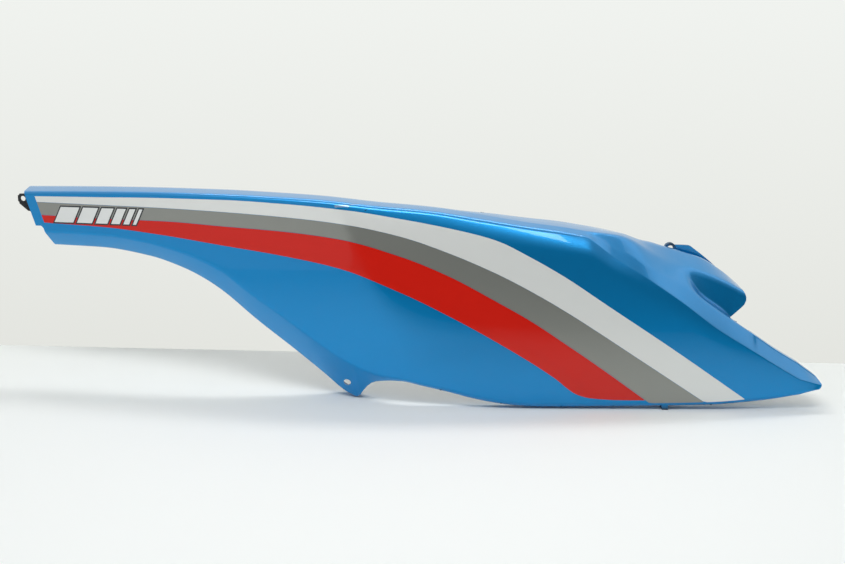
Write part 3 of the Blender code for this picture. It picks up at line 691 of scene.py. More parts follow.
ear_front = skin_depth(-3, 199) + EAR_DEPTH
ear_back = ear_front + EAR_THICKNESS
fused.append(slab("ear", [(x, up(z)) for x, z in EAR_OUTLINE], ear_front, ear_back, 1, radius=EAR_ROUND))
rib_corners = ((skin_depth(EAR_RIB_AT, EAR_RIB_LOW) + EAR_RIB_SINK, up(EAR_RIB_LOW)),
               (ear_back, up(EAR_RIB_TURN)), (ear_back, up(EAR_RIB_HIGH)),
               (skin_depth(EAR_RIB_AT, EAR_RIB_HIGH) + EAR_RIB_SINK, up(EAR_RIB_HIGH)))
fused.append(slab("ear_rib", rib_corners, EAR_RIB_AT - RIB / 2, EAR_RIB_AT + RIB / 2, 0))
cutters.append(rod("ear_hole", EAR_HOLE_AT[0], up(EAR_HOLE_AT[1]), ear_front - CUT_PAST, ear_back + CUT_PAST,
                   EAR_HOLE))

# %% The low wall and the lug behind the fin
UPSTAND_TOP = ((652, 140), (657, 146), (664, 147.5), (677, 147), (685, 142), (706, 125), (728, 104.5),
               (735, 96))
UPSTAND_FRONT = 92.0
UPSTAND_BACK = 94.5
UPSTAND_STEPS = 40
UPSTAND_SINK = 4
UPSTAND_LEAST = 3
LUG_AT = (658, 144)
LUG_OUTER = 12.0
LUG_HOLE = 7.0
LUG_LENGTH = 6.0

upstand_line = smooth_line([(x, up(z)) for x, z in UPSTAND_TOP])
left, right = UPSTAND_TOP[0][0], UPSTAND_TOP[-1][0]
xs = [left + (right - left) * i / UPSTAND_STEPS for i in range(UPSTAND_STEPS + 1)]
upper = [(x, upstand_line(x)) for x in xs]
lower = [(x, min(TOP_LINE(x) + FREE[1](x) - UPSTAND_SINK, upstand_line(x) - UPSTAND_LEAST))
         for x in reversed(xs)]
fused.append(slab("upstand", upper + lower, UPSTAND_FRONT, UPSTAND_BACK, 1))
fused.append(rod("lug", LUG_AT[0], up(LUG_AT[1]), UPSTAND_BACK - LUG_LENGTH, UPSTAND_BACK, LUG_OUTER))
cutters.append(rod("lug_hole", LUG_AT[0], up(LUG_AT[1]), UPSTAND_BACK - LUG_LENGTH - 1,
                   UPSTAND_BACK + CUT_PAST, LUG_HOLE))

# %% The bosses
BOSSES = ((95, 186), (262, 160), (455, 110), (600, 60))
BOSS_OUTER = 10.0
BOSS_BORE = 4.2
BOSS_REACH = 22.0
BOSS_SINK = WALL * 0.6
BORE_FLOOR = 2.0
GUSSET_SPREAD = 9.0
GUSSET_START = 1
GUSSET_END = 4

for number, (x, sheet_z) in enumerate(BOSSES):
    z = up(sheet_z)
    front = rolled_face(x, z)
    root, end = front + BOSS_SINK, front + BOSS_REACH
    fused.append(rod(f"boss_{number}", x, z, root, end, BOSS_OUTER))
    for side in (-1, 1):
        spread = z + side * (BOSS_OUTER / 2 + GUSSET_SPREAD)
        deep = rolled_face(x, spread) + BOSS_SINK
        corners = ((root + GUSSET_START, z), (deep, spread), (end - GUSSET_END, z + side * BOSS_OUTER / 2),
                   (end - GUSSET_END, z))
        fused.append(slab(f"gusset_{number}_{side + 1}", corners, x - RIB / 2, x + RIB / 2, 0))
    cutters.append(rod(f"bore_{number}", x, z, front + WALL + BORE_FLOOR, end + CUT_PAST, BOSS_BORE))

# %% Ribs above the bottom flange, and the foot
LOW_RIBS = (420, 480, 540, 592, 690)
RIB_HEIGHT = 22.0
RIB_RISE = 1
RIB_FACE_AT = 4
RIB_SINK = WALL * 0.5
FOOT_BACK = 52.0
FOOT_HEIGHT = 30.0
FOOT_END = 5
FOOT_TOP_SINK = 1.2
FOOT_LOW_SINK = 1.5

for number, x in enumerate(LOW_RIBS):
    low = BOTTOM_EDGE(x) + RIB_RISE
    front = face(x, low + RIB_FACE_AT) + RIB_SINK
    top = low + RIB_HEIGHT
    corners = ((front, low), (front + BOTTOM_FLANGE - WALL, low), (face(x, top) + RIB_SINK, top))
    fused.append(slab(f"low_rib_{number}", corners, x - RIB / 2, x + RIB / 2, 0))

front = face(FOOT_AT, 0) + FOOT_LOW_SINK
foot_corners = ((front, FOOT_LOW), (FOOT_BACK, FOOT_LOW), (FOOT_BACK, FOOT_LOW + FOOT_END),
                (face(FOOT_AT, FOOT_HEIGHT) + FOOT_TOP_SINK, FOOT_HEIGHT), (front, 1))
fused.append(slab("foot", foot_corners, FOOT_AT - FOOT_WIDTH / 2, FOOT_AT + FOOT_WIDTH / 2, 0))

# %% Tongues under the top flange
HOOKS = (60, 190, 330, 470)
HOOK_WIDTH = 18.0
HOOK_REACH = 9.0
HOOK_THICKNESS = 2.0
HOOK_ROOT = 6
HOOK_SINK = 0.3

for number, x in enumerate(HOOKS):
    z = TOP_LINE(x)
    root = rolled_face(x, z) + FREE[0](x) - HOOK_ROOT
    tilt = HOOK_WIDTH / 2 * (TOP_LINE(x + 1) - TOP_LINE(x))
    low, high = z - WALL - HOOK_THICKNESS, z - WALL + HOOK_SINK
    left, right = x - HOOK_WIDTH / 2, x + HOOK_WIDTH / 2
    corners = ((left, low - tilt), (right, low + tilt), (right, high + tilt), (left, high - tilt))
    fused.append(slab(f"tongue_{number}", corners, root, root + HOOK_ROOT + HOOK_REACH, 1))

# %% The stepped tail end and the hole in the peak
TAIL_NOTCH = ((-40, 169), (11, 169), (13.5, 166.5), (15.5, 160), (20, 148), (20, 130), (-40, 130))
FIN_ROUND = ((709, 79.5), (715.1, 82.2), (720, 86), (725, 90), (728.4, 93.2), (730.2, 97), (730.4, 100.5),
             (729.4, 104), (727.4, 107.5), (725, 112), (725, 122), (752, 122), (752, 73.5), (731, 73.5))
FIN_CUT_FRONT = 44.0
PEAK_HOLE_AT = (326, 17.5)
PEAK_HOLE = 7.4
NOTCH_FRONT = 40
PEAK_FRONT = 20
CUT_BACK = 60
FIN_CUT_BACK = UPSTAND_FRONT + 20

depth = skin_depth(0, 160)
notch = [(x, up(z)) for x, z in TAIL_NOTCH]
cutters.append(slab("tail_notch", notch, depth - NOTCH_FRONT, depth + CUT_BACK, 1))
cutters.append(slab("fin_round", [(x, up(z)) for x, z in FIN_ROUND], FIN_CUT_FRONT, FIN_CUT_BACK, 1))
x, z = PEAK_HOLE_AT[0], up(PEAK_HOLE_AT[1])
cutters.append(rod("peak_hole", x, z, face(x, z) - PEAK_FRONT, face(x, z) + CUT_BACK, PEAK_HOLE))
print("features:", len(fused), "cutters:", len(cutters))

# %% [markdown]
# ## Joining
#
# The exact boolean solver keeps the skin's own faces as they are and only cuts where solids meet. All the
# features go into one collection, so one modifier joins them, and a second one cuts the holes.

# %% Join the features and cut the holes
def collection_of(name, objects):
    collection = bpy.data.collections.new(name)
    bpy.context.scene.collection.children.link(collection)
    for obj in objects:
        bpy.context.scene.collection.objects.unlink(obj)
        collection.objects.link(obj)
    return collection


def baked(obj):
    """A copy of the object's mesh with its modifiers applied."""
    depsgraph = bpy.context.evaluated_depsgraph_get()
    return bpy.data.meshes.new_from_object(obj.evaluated_get(depsgraph))


def boolean(obj, operation, collection):
    modifier = obj.modifiers.new(operation.lower(), "BOOLEAN")
    modifier.operation = operation
    modifier.operand_type = "COLLECTION"
    modifier.collection = collection


panel = new_object("painted_panel", skin)
fused_collection = collection_of("fused", fused)
cutter_collection = collection_of("cutters", cutters)
boolean(panel, "UNION", fused_collection)
boolean(panel, "DIFFERENCE", cutter_collection)
panel_mesh = baked(panel)
panel.modifiers.clear()
panel.data = panel_mesh
for collection in (fused_collection, cutter_collection):
    for obj in list(collection.objects):
        bpy.data.objects.remove(obj, do_unlink=True)
    bpy.data.collections.remove(collection)
print("panel after joining:", len(panel_mesh.polygons), "faces")

# %% [markdown]
# ## Standing on the floor
#
# The drawing is turned until foot and peak are level, and moved so that its box lies where the CAD box
# lies. The same matrix carries everything that is drawn on the sheet: panel, films, marks and camera.

# %% From the drawing to the frame
turned = [turn @ v.co for v in panel_mesh.vertices]
low = Vector([min(c[i] for c in turned) for i in range(3)])
high = Vector([max(c[i] for c in turned) for i in range(3)])
cad_low, cad_high = (Vector(corner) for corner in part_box("side_panel"))
shift = (cad_low + cad_high) / 2 - (low + high) / 2
shift.z = cad_low.z - low.z
to_frame = Matrix.Translation(shift) @ turn
camera.matrix_world = to_frame @ camera_in_drawing()
print("shift to the frame:", [round(value, 5) for value in shift])
size_difference = (high - low) - (cad_high - cad_low)
print("size difference to the CAD solid, mm:", [round(value / MM, 2) for value in size_difference])

# %% [markdown]
# ## Where the paint reaches
#
# The mould shop paints the outside only. Inside, the black plastic shows, with a haze of overspray near the
# edges. One number per point says how much paint there is: 1 on the outer surface, and less with the
# distance from the rim on the inner side. The ear and the foot stay black.

# %% Paint mask per point
OVERSPRAY_REACH = 7.0
OVERSPRAY_STRENGTH = 0.6
OVERSPRAY_FALL = 1.5
OUTER_TOLERANCE = 0.15
FOOT_PAINT_LOW = -2.2
EAR_PAINT_FROM = ear_front - 8
UPSTAND_PAINT = (UPSTAND_FRONT - 1, UPSTAND_BACK - 0.5)


def paint_amount(co):
    _, _, _, distance = outer_tree.find_nearest(co)
    if distance < OUTER_TOLERANCE * MM:
        return 1.0
    if co.x < EAR_RIB_AT * MM and co.y > EAR_PAINT_FROM * MM:
        return 0.0
    if co.z < FOOT_PAINT_LOW * MM:
        return 0.0
    in_upstand = UPSTAND_PAINT[0] * MM < co.y < UPSTAND_PAINT[1] * MM
    if in_upstand and co.z > TOP_LINE(co.x / MM) * MM:
        return 1.0
    _, _, rim_distance = rim_tree.find(co)
    return OVERSPRAY_STRENGTH * math.exp(-((rim_distance / MM) / OVERSPRAY_REACH) ** OVERSPRAY_FALL)


def add_point_values(mesh, name, values):
    attribute = mesh.attributes.new(name, "FLOAT", "POINT")
    attribute.data.foreach_set("value", values)


SMOOTH_ANGLE = math.radians(32)


def smooth(mesh):
    mesh.shade_smooth()
    mesh.set_sharp_from_angle(angle=SMOOTH_ANGLE)


paint_values = [paint_amount(v.co) for v in panel_mesh.vertices]
add_point_values(panel_mesh, "paint", paint_values)
panel_mesh.transform(to_frame)
smooth(panel_mesh)
print("painted points:", sum(1 for value in paint_values if value == 1.0), "of", len(paint_values))

# %% [markdown]
# ## The stripe films
#
# The stripes are films of silver white, gunmetal and red, laid on the face and cut off just above the
# bottom edge. Each is a thin sheet that follows the face's own formula, so it hugs the ridge and the bulge.
# At the tail end they are cut on a slant, and the red one has a rounded corner.

# %% Film sheets
FILM_LIFT = 0.12
FILM_THICKNESS = 0.2
FILM_START = 32.0
FILM_MARGIN = 4.5
FILM_JOINT = 0.25
FILM_ROWS = 14
FILM_END_WIDTH = 0.8
END_SEARCH_STEP = 0.5
END_SEARCH_COUNT = 4000


def cut_line(x):
    return BOTTOM_EDGE(x) + FILM_MARGIN


def sheet(name, columns, thickness):
    """A thin closed sheet from columns of points on the face, thickened towards the viewer."""
    bm = bmesh.new()
    grid = [[bm.verts.new(point * MM) for point in column] for column in columns]
    for a, b in zip(grid, grid[1:]):
        for i in range(len(a) - 1):
            bm.faces.new((a[i], b[i], b[i + 1], a[i + 1]))
    mesh = bpy.data.meshes.new(name)
    bm.to_mesh(mesh)
    bm.free()
    obj = new_object(name, mesh)
    wall = obj.modifiers.new("wall", "SOLIDIFY")
    wall.thickness = thickness * MM
    wall.offset = 1
    solid = baked(obj)
    obj.modifiers.clear()
    obj.data = solid
    solid.transform(to_frame)
    smooth(solid)
    return obj


def film(name, upper_line, lower_line):
    def low(x):
        return max(lower_line(x) + FILM_JOINT / 2, cut_line(x))

    def high(x):
        return upper_line(x) - FILM_JOINT / 2

    def width(place):
        return meet(place, high)[1] - meet(place, low)[1]

    places = [place for place in stations() if place > FILM_START + 1]
    trials = (places[0] + i * END_SEARCH_STEP for i in range(END_SEARCH_COUNT))
    end = next(place for place in trials if width(place) < FILM_END_WIDTH)
    places = [FILM_START] + [p for p in places if p < end - 1] + [end]
    columns = []
    for place in places:
        z0, z1 = meet(place, low)[1], meet(place, high)[1]
        column = [on_station(place, z0 + (z1 - z0) * i / FILM_ROWS) for i in range(FILM_ROWS + 1)]
        columns.append([point - Vector((0, FILM_LIFT, 0)) for point in column])
    return sheet(name, columns, FILM_THICKNESS)


white_film = film("white_stripe_film", WHITE_TOP, GREY_TOP)
grey_film = film("grey_stripe_film", GREY_TOP, RED_TOP)
red_film = film("red_stripe_film", RED_TOP, RED_BOTTOM)
print("films:", [len(obj.data.polygons) for obj in (white_film, grey_film, red_film)])

# %% [markdown]
# ## Speed bars
#
# Near the tail the stripes carry a row of plain slanted bars, pale with a dark outline. Each is a thin
# sheet on the film, made from the same formula for the face. A mask in the film's material could draw them
# too, but a sheet keeps a crisp edge at any distance.

# %% Slanted bars on the grey stripe
BAR_LIFT = 0.45
BAR_THICKNESS = 0.12
BAR_LOW = 173.5
BAR_HIGH = 189.0
BAR_LEAN = 0.45
BAR_STARTS = ((26, 20), (50, 16), (70, 12.5), (86.5, 9), (99.5, 6), (109.5, 3.5))
BAR_OUTLINE = 1.3
BAR_GAP = 0.04
BAR_COLUMNS = 8
BAR_ROWS = 8


def bar(name, start, width, grow, lift):
    """A slanted bar. It lies lift in front of the face and is grow larger all round."""
    columns = []
    z0, z1 = up(BAR_LOW) - grow, up(BAR_HIGH) + grow
    for i in range(BAR_COLUMNS + 1):
        column = []
        for j in range(BAR_ROWS + 1):
            z = z0 + (z1 - z0) * j / BAR_ROWS
            x = start - grow + (width + 2 * grow) * i / BAR_COLUMNS + BAR_LEAN * (z - z0 - grow)
            column.append(Vector((x, rolled_face(x, z) - lift, z)))
        columns.append(column)
    return sheet(name, columns, BAR_THICKNESS)


dark_bars = [bar(f"bar_outline_{i}", x, w, BAR_OUTLINE, BAR_LIFT) for i, (x, w) in enumerate(BAR_STARTS)]
pale_lift = BAR_LIFT + BAR_THICKNESS + BAR_GAP
pale_bars = [bar(f"bar_{i}", x, w, 0.0, pale_lift) for i, (x, w) in enumerate(BAR_STARTS)]
print("bars:", len(pale_bars))

# %% [markdown]
# ## Shader groups
#
# The finishes share the same small effects: the slight waviness of sprayed or moulded surfaces, thin dust
# with a painted pale sheen where a surface faces up, and short worn marks. Each effect is a node group with
# named inputs, built once and placed with its own values wherever it is needed.

# %% Helpers for node trees
def node(tree, kind, **values):
    made = tree.nodes.new(kind)
    for key, value in values.items():
        setattr(made, key, value)
    return made


def set_input(made, **values):
    for key, value in values.items():
        made.inputs[key.replace("_", " ")].default_value = value


def new_group(name, inputs, outputs):
    """A shader node group with named inputs and outputs."""
    tree = bpy.data.node_groups.new(name, "ShaderNodeTree")
    for socket, kind, default in inputs:
        made = tree.interface.new_socket(name=socket, in_out="INPUT", socket_type=kind)
        made.default_value = default
    for socket, kind in outputs:
        tree.interface.new_socket(name=socket, in_out="OUTPUT", socket_type=kind)
    return tree, tree.nodes.new("NodeGroupInput"), tree.nodes.new("NodeGroupOutput")


def math_node(tree, operation, a, b=None, clamp=False):
    """A Math node whose inputs are sockets or numbers."""
    made = node(tree, "ShaderNodeMath", operation=operation, use_clamp=clamp)
    for socket, value in zip(made.inputs, (a, b)):
        if value is None:
            continue
        if isinstance(value, (int, float)):
            socket.default_value = value
        else:
            tree.links.new(value, socket)
    return made.outputs[0]


# %% Waviness group
wave_tree, wave_in, wave_out = new_group(
    "surface_waviness",
    (("Scale", "NodeSocketFloat", 400.0), ("Height", "NodeSocketFloat", 0.02),
     ("Broad", "NodeSocketFloat", 0.0)),
    (("Normal", "NodeSocketVector"),))
coordinates = node(wave_tree, "ShaderNodeTexCoord")
fine_noise = node(wave_tree, "ShaderNodeTexNoise")
set_input(fine_noise, Detail=2.0, Roughness=0.5)
broad_noise = node(wave_tree, "ShaderNodeTexNoise")
set_input(broad_noise, Scale=14.0, Detail=1.0)
for noise in (fine_noise, broad_noise):
    wave_tree.links.new(coordinates.outputs["Object"], noise.inputs["Vector"])
wave_tree.links.new(wave_in.outputs["Scale"], fine_noise.inputs["Scale"])
fine_height = math_node(wave_tree, "MULTIPLY", fine_noise.outputs["Fac"], wave_in.outputs["Height"])
broad_height = math_node(wave_tree, "MULTIPLY", broad_noise.outputs["Fac"], wave_in.outputs["Broad"])
height = math_node(wave_tree, "ADD", fine_height, broad_height)
bump = node(wave_tree, "ShaderNodeBump")
bump.inputs["Distance"].default_value = MM
wave_tree.links.new(height, bump.inputs["Height"])
wave_tree.links.new(bump.outputs["Normal"], wave_out.inputs["Normal"])

# %% Dust and painted sheen group
DUST_SHEEN_GAIN = 1.5
DUST_SHEEN_OFFSET = -0.45

dust_sheen_tree, dust_sheen_in, dust_sheen_out = new_group(
    "dust_and_painted_sheen",
    (("Amount", "NodeSocketFloat", 0.3), ("Scale", "NodeSocketFloat", 60.0)),
    (("Mask", "NodeSocketFloat"),))
coordinates = node(dust_sheen_tree, "ShaderNodeTexCoord")
geometry = node(dust_sheen_tree, "ShaderNodeNewGeometry")
dust_sheen_noise = node(dust_sheen_tree, "ShaderNodeTexNoise")
set_input(dust_sheen_noise, Detail=6.0, Roughness=0.65)
dust_sheen_tree.links.new(coordinates.outputs["Object"], dust_sheen_noise.inputs["Vector"])
dust_sheen_tree.links.new(dust_sheen_in.outputs["Scale"], dust_sheen_noise.inputs["Scale"])
# The share that grows as the surface turns up is a painted sheen of the light above, as well as thin dust
upward = node(dust_sheen_tree, "ShaderNodeSeparateXYZ")
dust_sheen_tree.links.new(geometry.outputs["Normal"], upward.inputs[0])
facing_up = math_node(dust_sheen_tree, "MULTIPLY_ADD", upward.outputs["Z"], DUST_SHEEN_GAIN)
facing_up.node.inputs[2].default_value = DUST_SHEEN_OFFSET
facing_up.node.use_clamp = True
speckle = node(dust_sheen_tree, "ShaderNodeMapRange")
set_input(speckle, From_Min=0.3, From_Max=0.7, To_Min=0.7)
dust_sheen_tree.links.new(dust_sheen_noise.outputs["Fac"], speckle.inputs["Value"])
mask = math_node(dust_sheen_tree, "MULTIPLY", speckle.outputs["Result"], facing_up)
mask = math_node(dust_sheen_tree, "MULTIPLY", mask, dust_sheen_in.outputs["Amount"], clamp=True)
dust_sheen_tree.links.new(mask, dust_sheen_out.inputs["Mask"])

# %% Mark group: how near a point is to a short line
mark_tree, mark_in, mark_out = new_group(
    "line_mark",
    (("From", "NodeSocketVector", (0, 0, 0)), ("To", "NodeSocketVector", (0.01, 0, 0)),
     ("Width", "NodeSocketFloat", 0.001), ("Ragged", "NodeSocketFloat", 0.3)),
    (("Mask", "NodeSocketFloat"),))
coordinates = node(mark_tree, "ShaderNodeTexCoord")


def vector_node(tree, operation, a, b=None):
    made = node(tree, "ShaderNodeVectorMath", operation=operation)
    for socket, value in zip(made.inputs, (a, b)):
        if value is not None:
            tree.links.new(value, socket)
    return made


here = coordinates.outputs["Object"]
to_point = vector_node(mark_tree, "SUBTRACT", here, mark_in.outputs["From"]).outputs[0]
run = vector_node(mark_tree, "SUBTRACT", mark_in.outputs["To"], mark_in.outputs["From"]).outputs[0]
along_run = vector_node(mark_tree, "DOT_PRODUCT", to_point, run).outputs["Value"]
run_squared = vector_node(mark_tree, "DOT_PRODUCT", run, run).outputs["Value"]
share = math_node(mark_tree, "DIVIDE", along_run, run_squared, clamp=True)
scaled = node(mark_tree, "ShaderNodeVectorMath", operation="SCALE")
mark_tree.links.new(run, scaled.inputs[0])
mark_tree.links.new(share, scaled.inputs["Scale"])
gap = vector_node(mark_tree, "SUBTRACT", to_point, scaled.outputs[0]).outputs[0]
distance = vector_node(mark_tree, "LENGTH", gap).outputs["Value"]
ragged_noise = node(mark_tree, "ShaderNodeTexNoise")
set_input(ragged_noise, Scale=900.0, Detail=2.0)
mark_tree.links.new(here, ragged_noise.inputs["Vector"])
ragged = math_node(mark_tree, "MULTIPLY", ragged_noise.outputs["Fac"], mark_in.outputs["Ragged"])
kept_share = math_node(mark_tree, "SUBTRACT", 1.0, ragged)
reach = math_node(mark_tree, "MULTIPLY", kept_share, mark_in.outputs["Width"])
closeness = math_node(mark_tree, "DIVIDE", distance, reach)
mark_fade = node(mark_tree, "ShaderNodeMapRange", interpolation_type="SMOOTHSTEP")
set_input(mark_fade, From_Min=1.0, From_Max=0.35)
mark_tree.links.new(closeness, mark_fade.inputs["Value"])
mark_tree.links.new(mark_fade.outputs["Result"], mark_out.inputs["Mask"])
print("groups:", [group.name for group in (wave_tree, dust_sheen_tree, mark_tree)])

# %% Helpers for materials
def new_material(name):
    material = bpy.data.materials.new(name)
    material.use_nodes = True
    return material, material.node_tree, material.node_tree.nodes["Principled BSDF"]


def group_node(tree, group, **values):
    made = node(tree, "ShaderNodeGroup", node_tree=group)
    set_input(made, **values)
    return made


def mix_colour(tree, factor, a, b):
    """A colour mix whose inputs are sockets or colours."""
    made = node(tree, "ShaderNodeMix", data_type="RGBA")
    for socket, value in ((made.inputs["Factor"], factor), (made.inputs[6], a), (made.inputs[7], b)):
        if isinstance(value, bpy.types.NodeSocket):
            tree.links.new(value, socket)
        else:
            socket.default_value = value if isinstance(value, float) else (*value, 1.0)
    return made.outputs[2]


def mix_value(tree, factor, a, b):
    made = node(tree, "ShaderNodeMix", data_type="FLOAT")
    for socket, value in zip(made.inputs[:4], (factor, None, a, b)):
        if value is None:
            continue
        if isinstance(value, bpy.types.NodeSocket):
            tree.links.new(value, socket)
        else:
            socket.default_value = value
    return made.outputs[0]


# %% [markdown]
# ## Blue paint and bare plastic
#
# The paint is a metallic blue under a thick clear coat. The flakes are far too small to see at this
# distance, so metallic stays at about two thirds: the body colour shows in the shade, and a tinted sheen in
# the light. The clear coat gives the mirror on top. The mask per point fades paint into bare dark plastic
# on the inner side. The shoulder is worn above the peak. Those marks are drawn on the sheet as the outlines
# are, and then moved onto the skin.

# %% Blue paint
PAINT_BLUE = (0.004, 0.26, 0.62)
BARE_PLASTIC = (0.048, 0.050, 0.053)
# A pale grey for thin dust, which also serves as a painted sheen of the light on faces that turn up
DUST_SHEEN_COLOUR = (0.55, 0.57, 0.58)
PAINT_METALLIC = 0.65
PAINT_ROUGHNESS = 0.32
PLASTIC_ROUGHNESS = 0.55
PAINT_DUST_SHEEN = 0.12
DUST_SHEEN_SCALE = 70.0
# A dark scratch, a grey rub and a pale smudge, each from and to (along the panel, below the shoulder, behind
# the face), then half width, raggedness, strength and colour
WEAR_MARKS = (
    ((346, 4.5, 0), (360, 0, 5), 1.1, 0.6, 0.85, (0.02, 0.03, 0.05)),
    ((331, 1, 1), (339, 0, 4), 2.8, 0.8, 0.55, (0.24, 0.26, 0.28)),
    ((317, 4, 0), (329, 2.5, 0), 3.0, 0.9, 0.45, (0.66, 0.68, 0.68)),
)


def on_skin(along, below, behind):
    """The place on the outer skin, in the frame, nearest to a place drawn on the sheet."""
    z = SHOULDER(along) - below
    place, _, _, _ = outer_tree.find_nearest(Vector((along, rolled_face(along, z) + behind, z)) * MM)
    return to_frame @ place


blue_paint, tree, shader = new_material("blue_metallic_paint")
attribute = node(tree, "ShaderNodeAttribute", attribute_name="paint")
painted = attribute.outputs["Fac"]
# Thin dust and a painted pale sheen of the light above, mixed in where the paint faces up
dust_sheen = group_node(tree, dust_sheen_tree, Amount=PAINT_DUST_SHEEN, Scale=DUST_SHEEN_SCALE).outputs["Mask"]
colour = mix_colour(tree, painted, BARE_PLASTIC, PAINT_BLUE)
colour = mix_colour(tree, dust_sheen, colour, DUST_SHEEN_COLOUR)
for start, end, width, ragged, share, mark_colour in WEAR_MARKS:
    start, end = on_skin(*start), on_skin(*end)
    print("worn mark:", [round(value, 4) for value in (*start, *end)])
    mark = group_node(tree, mark_tree, From=start, To=end, Width=width * MM, Ragged=ragged).outputs["Mask"]
    colour = mix_colour(tree, math_node(tree, "MULTIPLY", mark, share), colour, mark_colour)
tree.links.new(colour, shader.inputs["Base Color"])
tree.links.new(math_node(tree, "MULTIPLY", painted, PAINT_METALLIC), shader.inputs["Metallic"])
tree.links.new(mix_value(tree, painted, PLASTIC_ROUGHNESS, PAINT_ROUGHNESS), shader.inputs["Roughness"])
tree.links.new(painted, shader.inputs["Coat Weight"])
shader.inputs["Coat Roughness"].default_value = 0.04
shader.inputs["Specular IOR Level"].default_value = 0.0
shader.inputs["Coat IOR"].default_value = 1.38
waves = group_node(tree, wave_tree, Scale=350.0, Height=0.012, Broad=0.10)
tree.links.new(waves.outputs["Normal"], shader.inputs["Normal"])
panel_mesh.materials.clear()
panel_mesh.materials.append(blue_paint)

# %% Films and bars
FILM_DUST_SHEEN = 0.02


def film_material(name, base, metallic, roughness):
    material, tree, shader = new_material(name)
    # A trace of dust and painted pale sheen on faces that turn up
    dust_sheen = group_node(tree, dust_sheen_tree, Amount=FILM_DUST_SHEEN, Scale=DUST_SHEEN_SCALE).outputs["Mask"]
    colour = mix_colour(tree, dust_sheen, base, DUST_SHEEN_COLOUR)
    tree.links.new(colour, shader.inputs["Base Color"])
    shader.inputs["Metallic"].default_value = metallic
    shader.inputs["Roughness"].default_value = roughness
    shader.inputs["Specular IOR Level"].default_value = 0.1
    shader.inputs["Coat Weight"].default_value = 1.0
    shader.inputs["Coat Roughness"].default_value = 0.06
    shader.inputs["Coat IOR"].default_value = 1.35
    waves = group_node(tree, wave_tree, Scale=600.0, Height=0.006, Broad=0.08)
    tree.links.new(waves.outputs["Normal"], shader.inputs["Normal"])
    return material


FILM_FINISHES = (
    (white_film, "silver_white_film", (0.78, 0.80, 0.78), 0.2, 0.35),
    (grey_film, "gunmetal_film", (0.30, 0.31, 0.285), 0.6, 0.35),
    (red_film, "signal_red_film", (0.62, 0.010, 0.003), 0.0, 0.4),
)
for obj, name, base, metallic, roughness in FILM_FINISHES:
    obj.data.materials.append(film_material(name, base, metallic, roughness))
dark_ink = film_material("dark_ink", (0.03, 0.034, 0.04), 0.0, 0.4)
pale_ink = film_material("pale_ink", (0.78, 0.80, 0.79), 0.0, 0.4)
for obj in dark_bars:
    obj.data.materials.append(dark_ink)
for obj in pale_bars:
    obj.data.materials.append(pale_ink)
print("materials:", blue_paint.name, dark_ink.name, pale_ink.name, *(finish[1] for finish in FILM_FINISHES))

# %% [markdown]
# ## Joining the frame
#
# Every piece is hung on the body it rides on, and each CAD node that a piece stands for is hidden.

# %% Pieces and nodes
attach(panel, "root")
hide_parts("side_panel")
for obj, cad_node, slot in ((white_film, "stripe_white", "white_film"),
                            (grey_film, "stripe_grey", "grey_film"),
                            (red_film, "stripe_red", "red_film")):
    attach(obj, "root")
    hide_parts(cad_node)
for obj in dark_bars:
    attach(obj, "root")
for obj in pale_bars:
    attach(obj, "root")

# %% [markdown]
# ## The studio
#
# A pale floor meets a pale wall close behind the panel. Four softboxes light it. The long one above the
# front draws the highlight on the shoulder, the narrow one above and behind throws the shadow forward, the
# one at the right fills the facet over the crease, and the one at the left lights the face. The rest of the
# room is rather dark, and the glossy face mirrors it. The wall shows its colour to the camera and in
# mirrors, with painted shade that darkens it towards the floor, and is lit as any wall is for the rest of
# the light. It casts no shadow, so the lamp behind it reaches the panel. Seen from their back, floor and
# wall are clear, so the panel can be looked at from any side.

# %% Floor and wall
FLOOR_COLOUR = (0.90, 0.92, 0.905)
WALL_PAINTED_SHADE_LOW = (0.775, 0.785, 0.745)
WALL_COLOUR_HIGH = (0.875, 0.895, 0.865)
WALL_AT = 0.134
WALL_TURN = math.radians(-1.5)
WALL_SHADE_HEIGHT = 0.40
WALL_HEIGHT = 0.45
SPREAD = 4.0
FLOOR_MOTTLE = 0.98


def clear_from_behind(tree, front):
    """Ends a material with the front shader, and nothing at all where the back is seen."""
    geometry = node(tree, "ShaderNodeNewGeometry")
    mix = node(tree, "ShaderNodeMixShader")
    tree.links.new(geometry.outputs["Backfacing"], mix.inputs[0])
    tree.links.new(front, mix.inputs[1])
    tree.links.new(node(tree, "ShaderNodeBsdfTransparent").outputs[0], mix.inputs[2])
    tree.links.new(mix.outputs[0], tree.nodes["Material Output"].inputs["Surface"])


def stage_plane(name, corners):
    """A flat face whose front is the side from which the corners run anticlockwise."""
    mesh = bpy.data.meshes.new(name)
    mesh.from_pydata(corners, [], [range(len(corners))])
    obj = new_object(name, mesh)
    material, tree, shader = new_material(name)
    shader.inputs["Roughness"].default_value = 0.8
    mesh.materials.append(material)
    return obj, tree, shader


slope = math.tan(WALL_TURN)
wall_left, wall_right = WALL_AT - SPREAD * slope, WALL_AT + SPREAD * slope
_, tree, shader = stage_plane("floor", ((-SPREAD, -SPREAD, 0), (SPREAD, -SPREAD, 0),
                                        (SPREAD, wall_right, 0), (-SPREAD, wall_left, 0)))
noise = node(tree, "ShaderNodeTexNoise")
set_input(noise, Scale=3.0, Detail=3.0)
shade = mix_colour(tree, noise.outputs["Fac"], tuple(c * FLOOR_MOTTLE for c in FLOOR_COLOUR), FLOOR_COLOUR)
tree.links.new(shade, shader.inputs["Base Color"])
clear_from_behind(tree, shader.outputs[0])

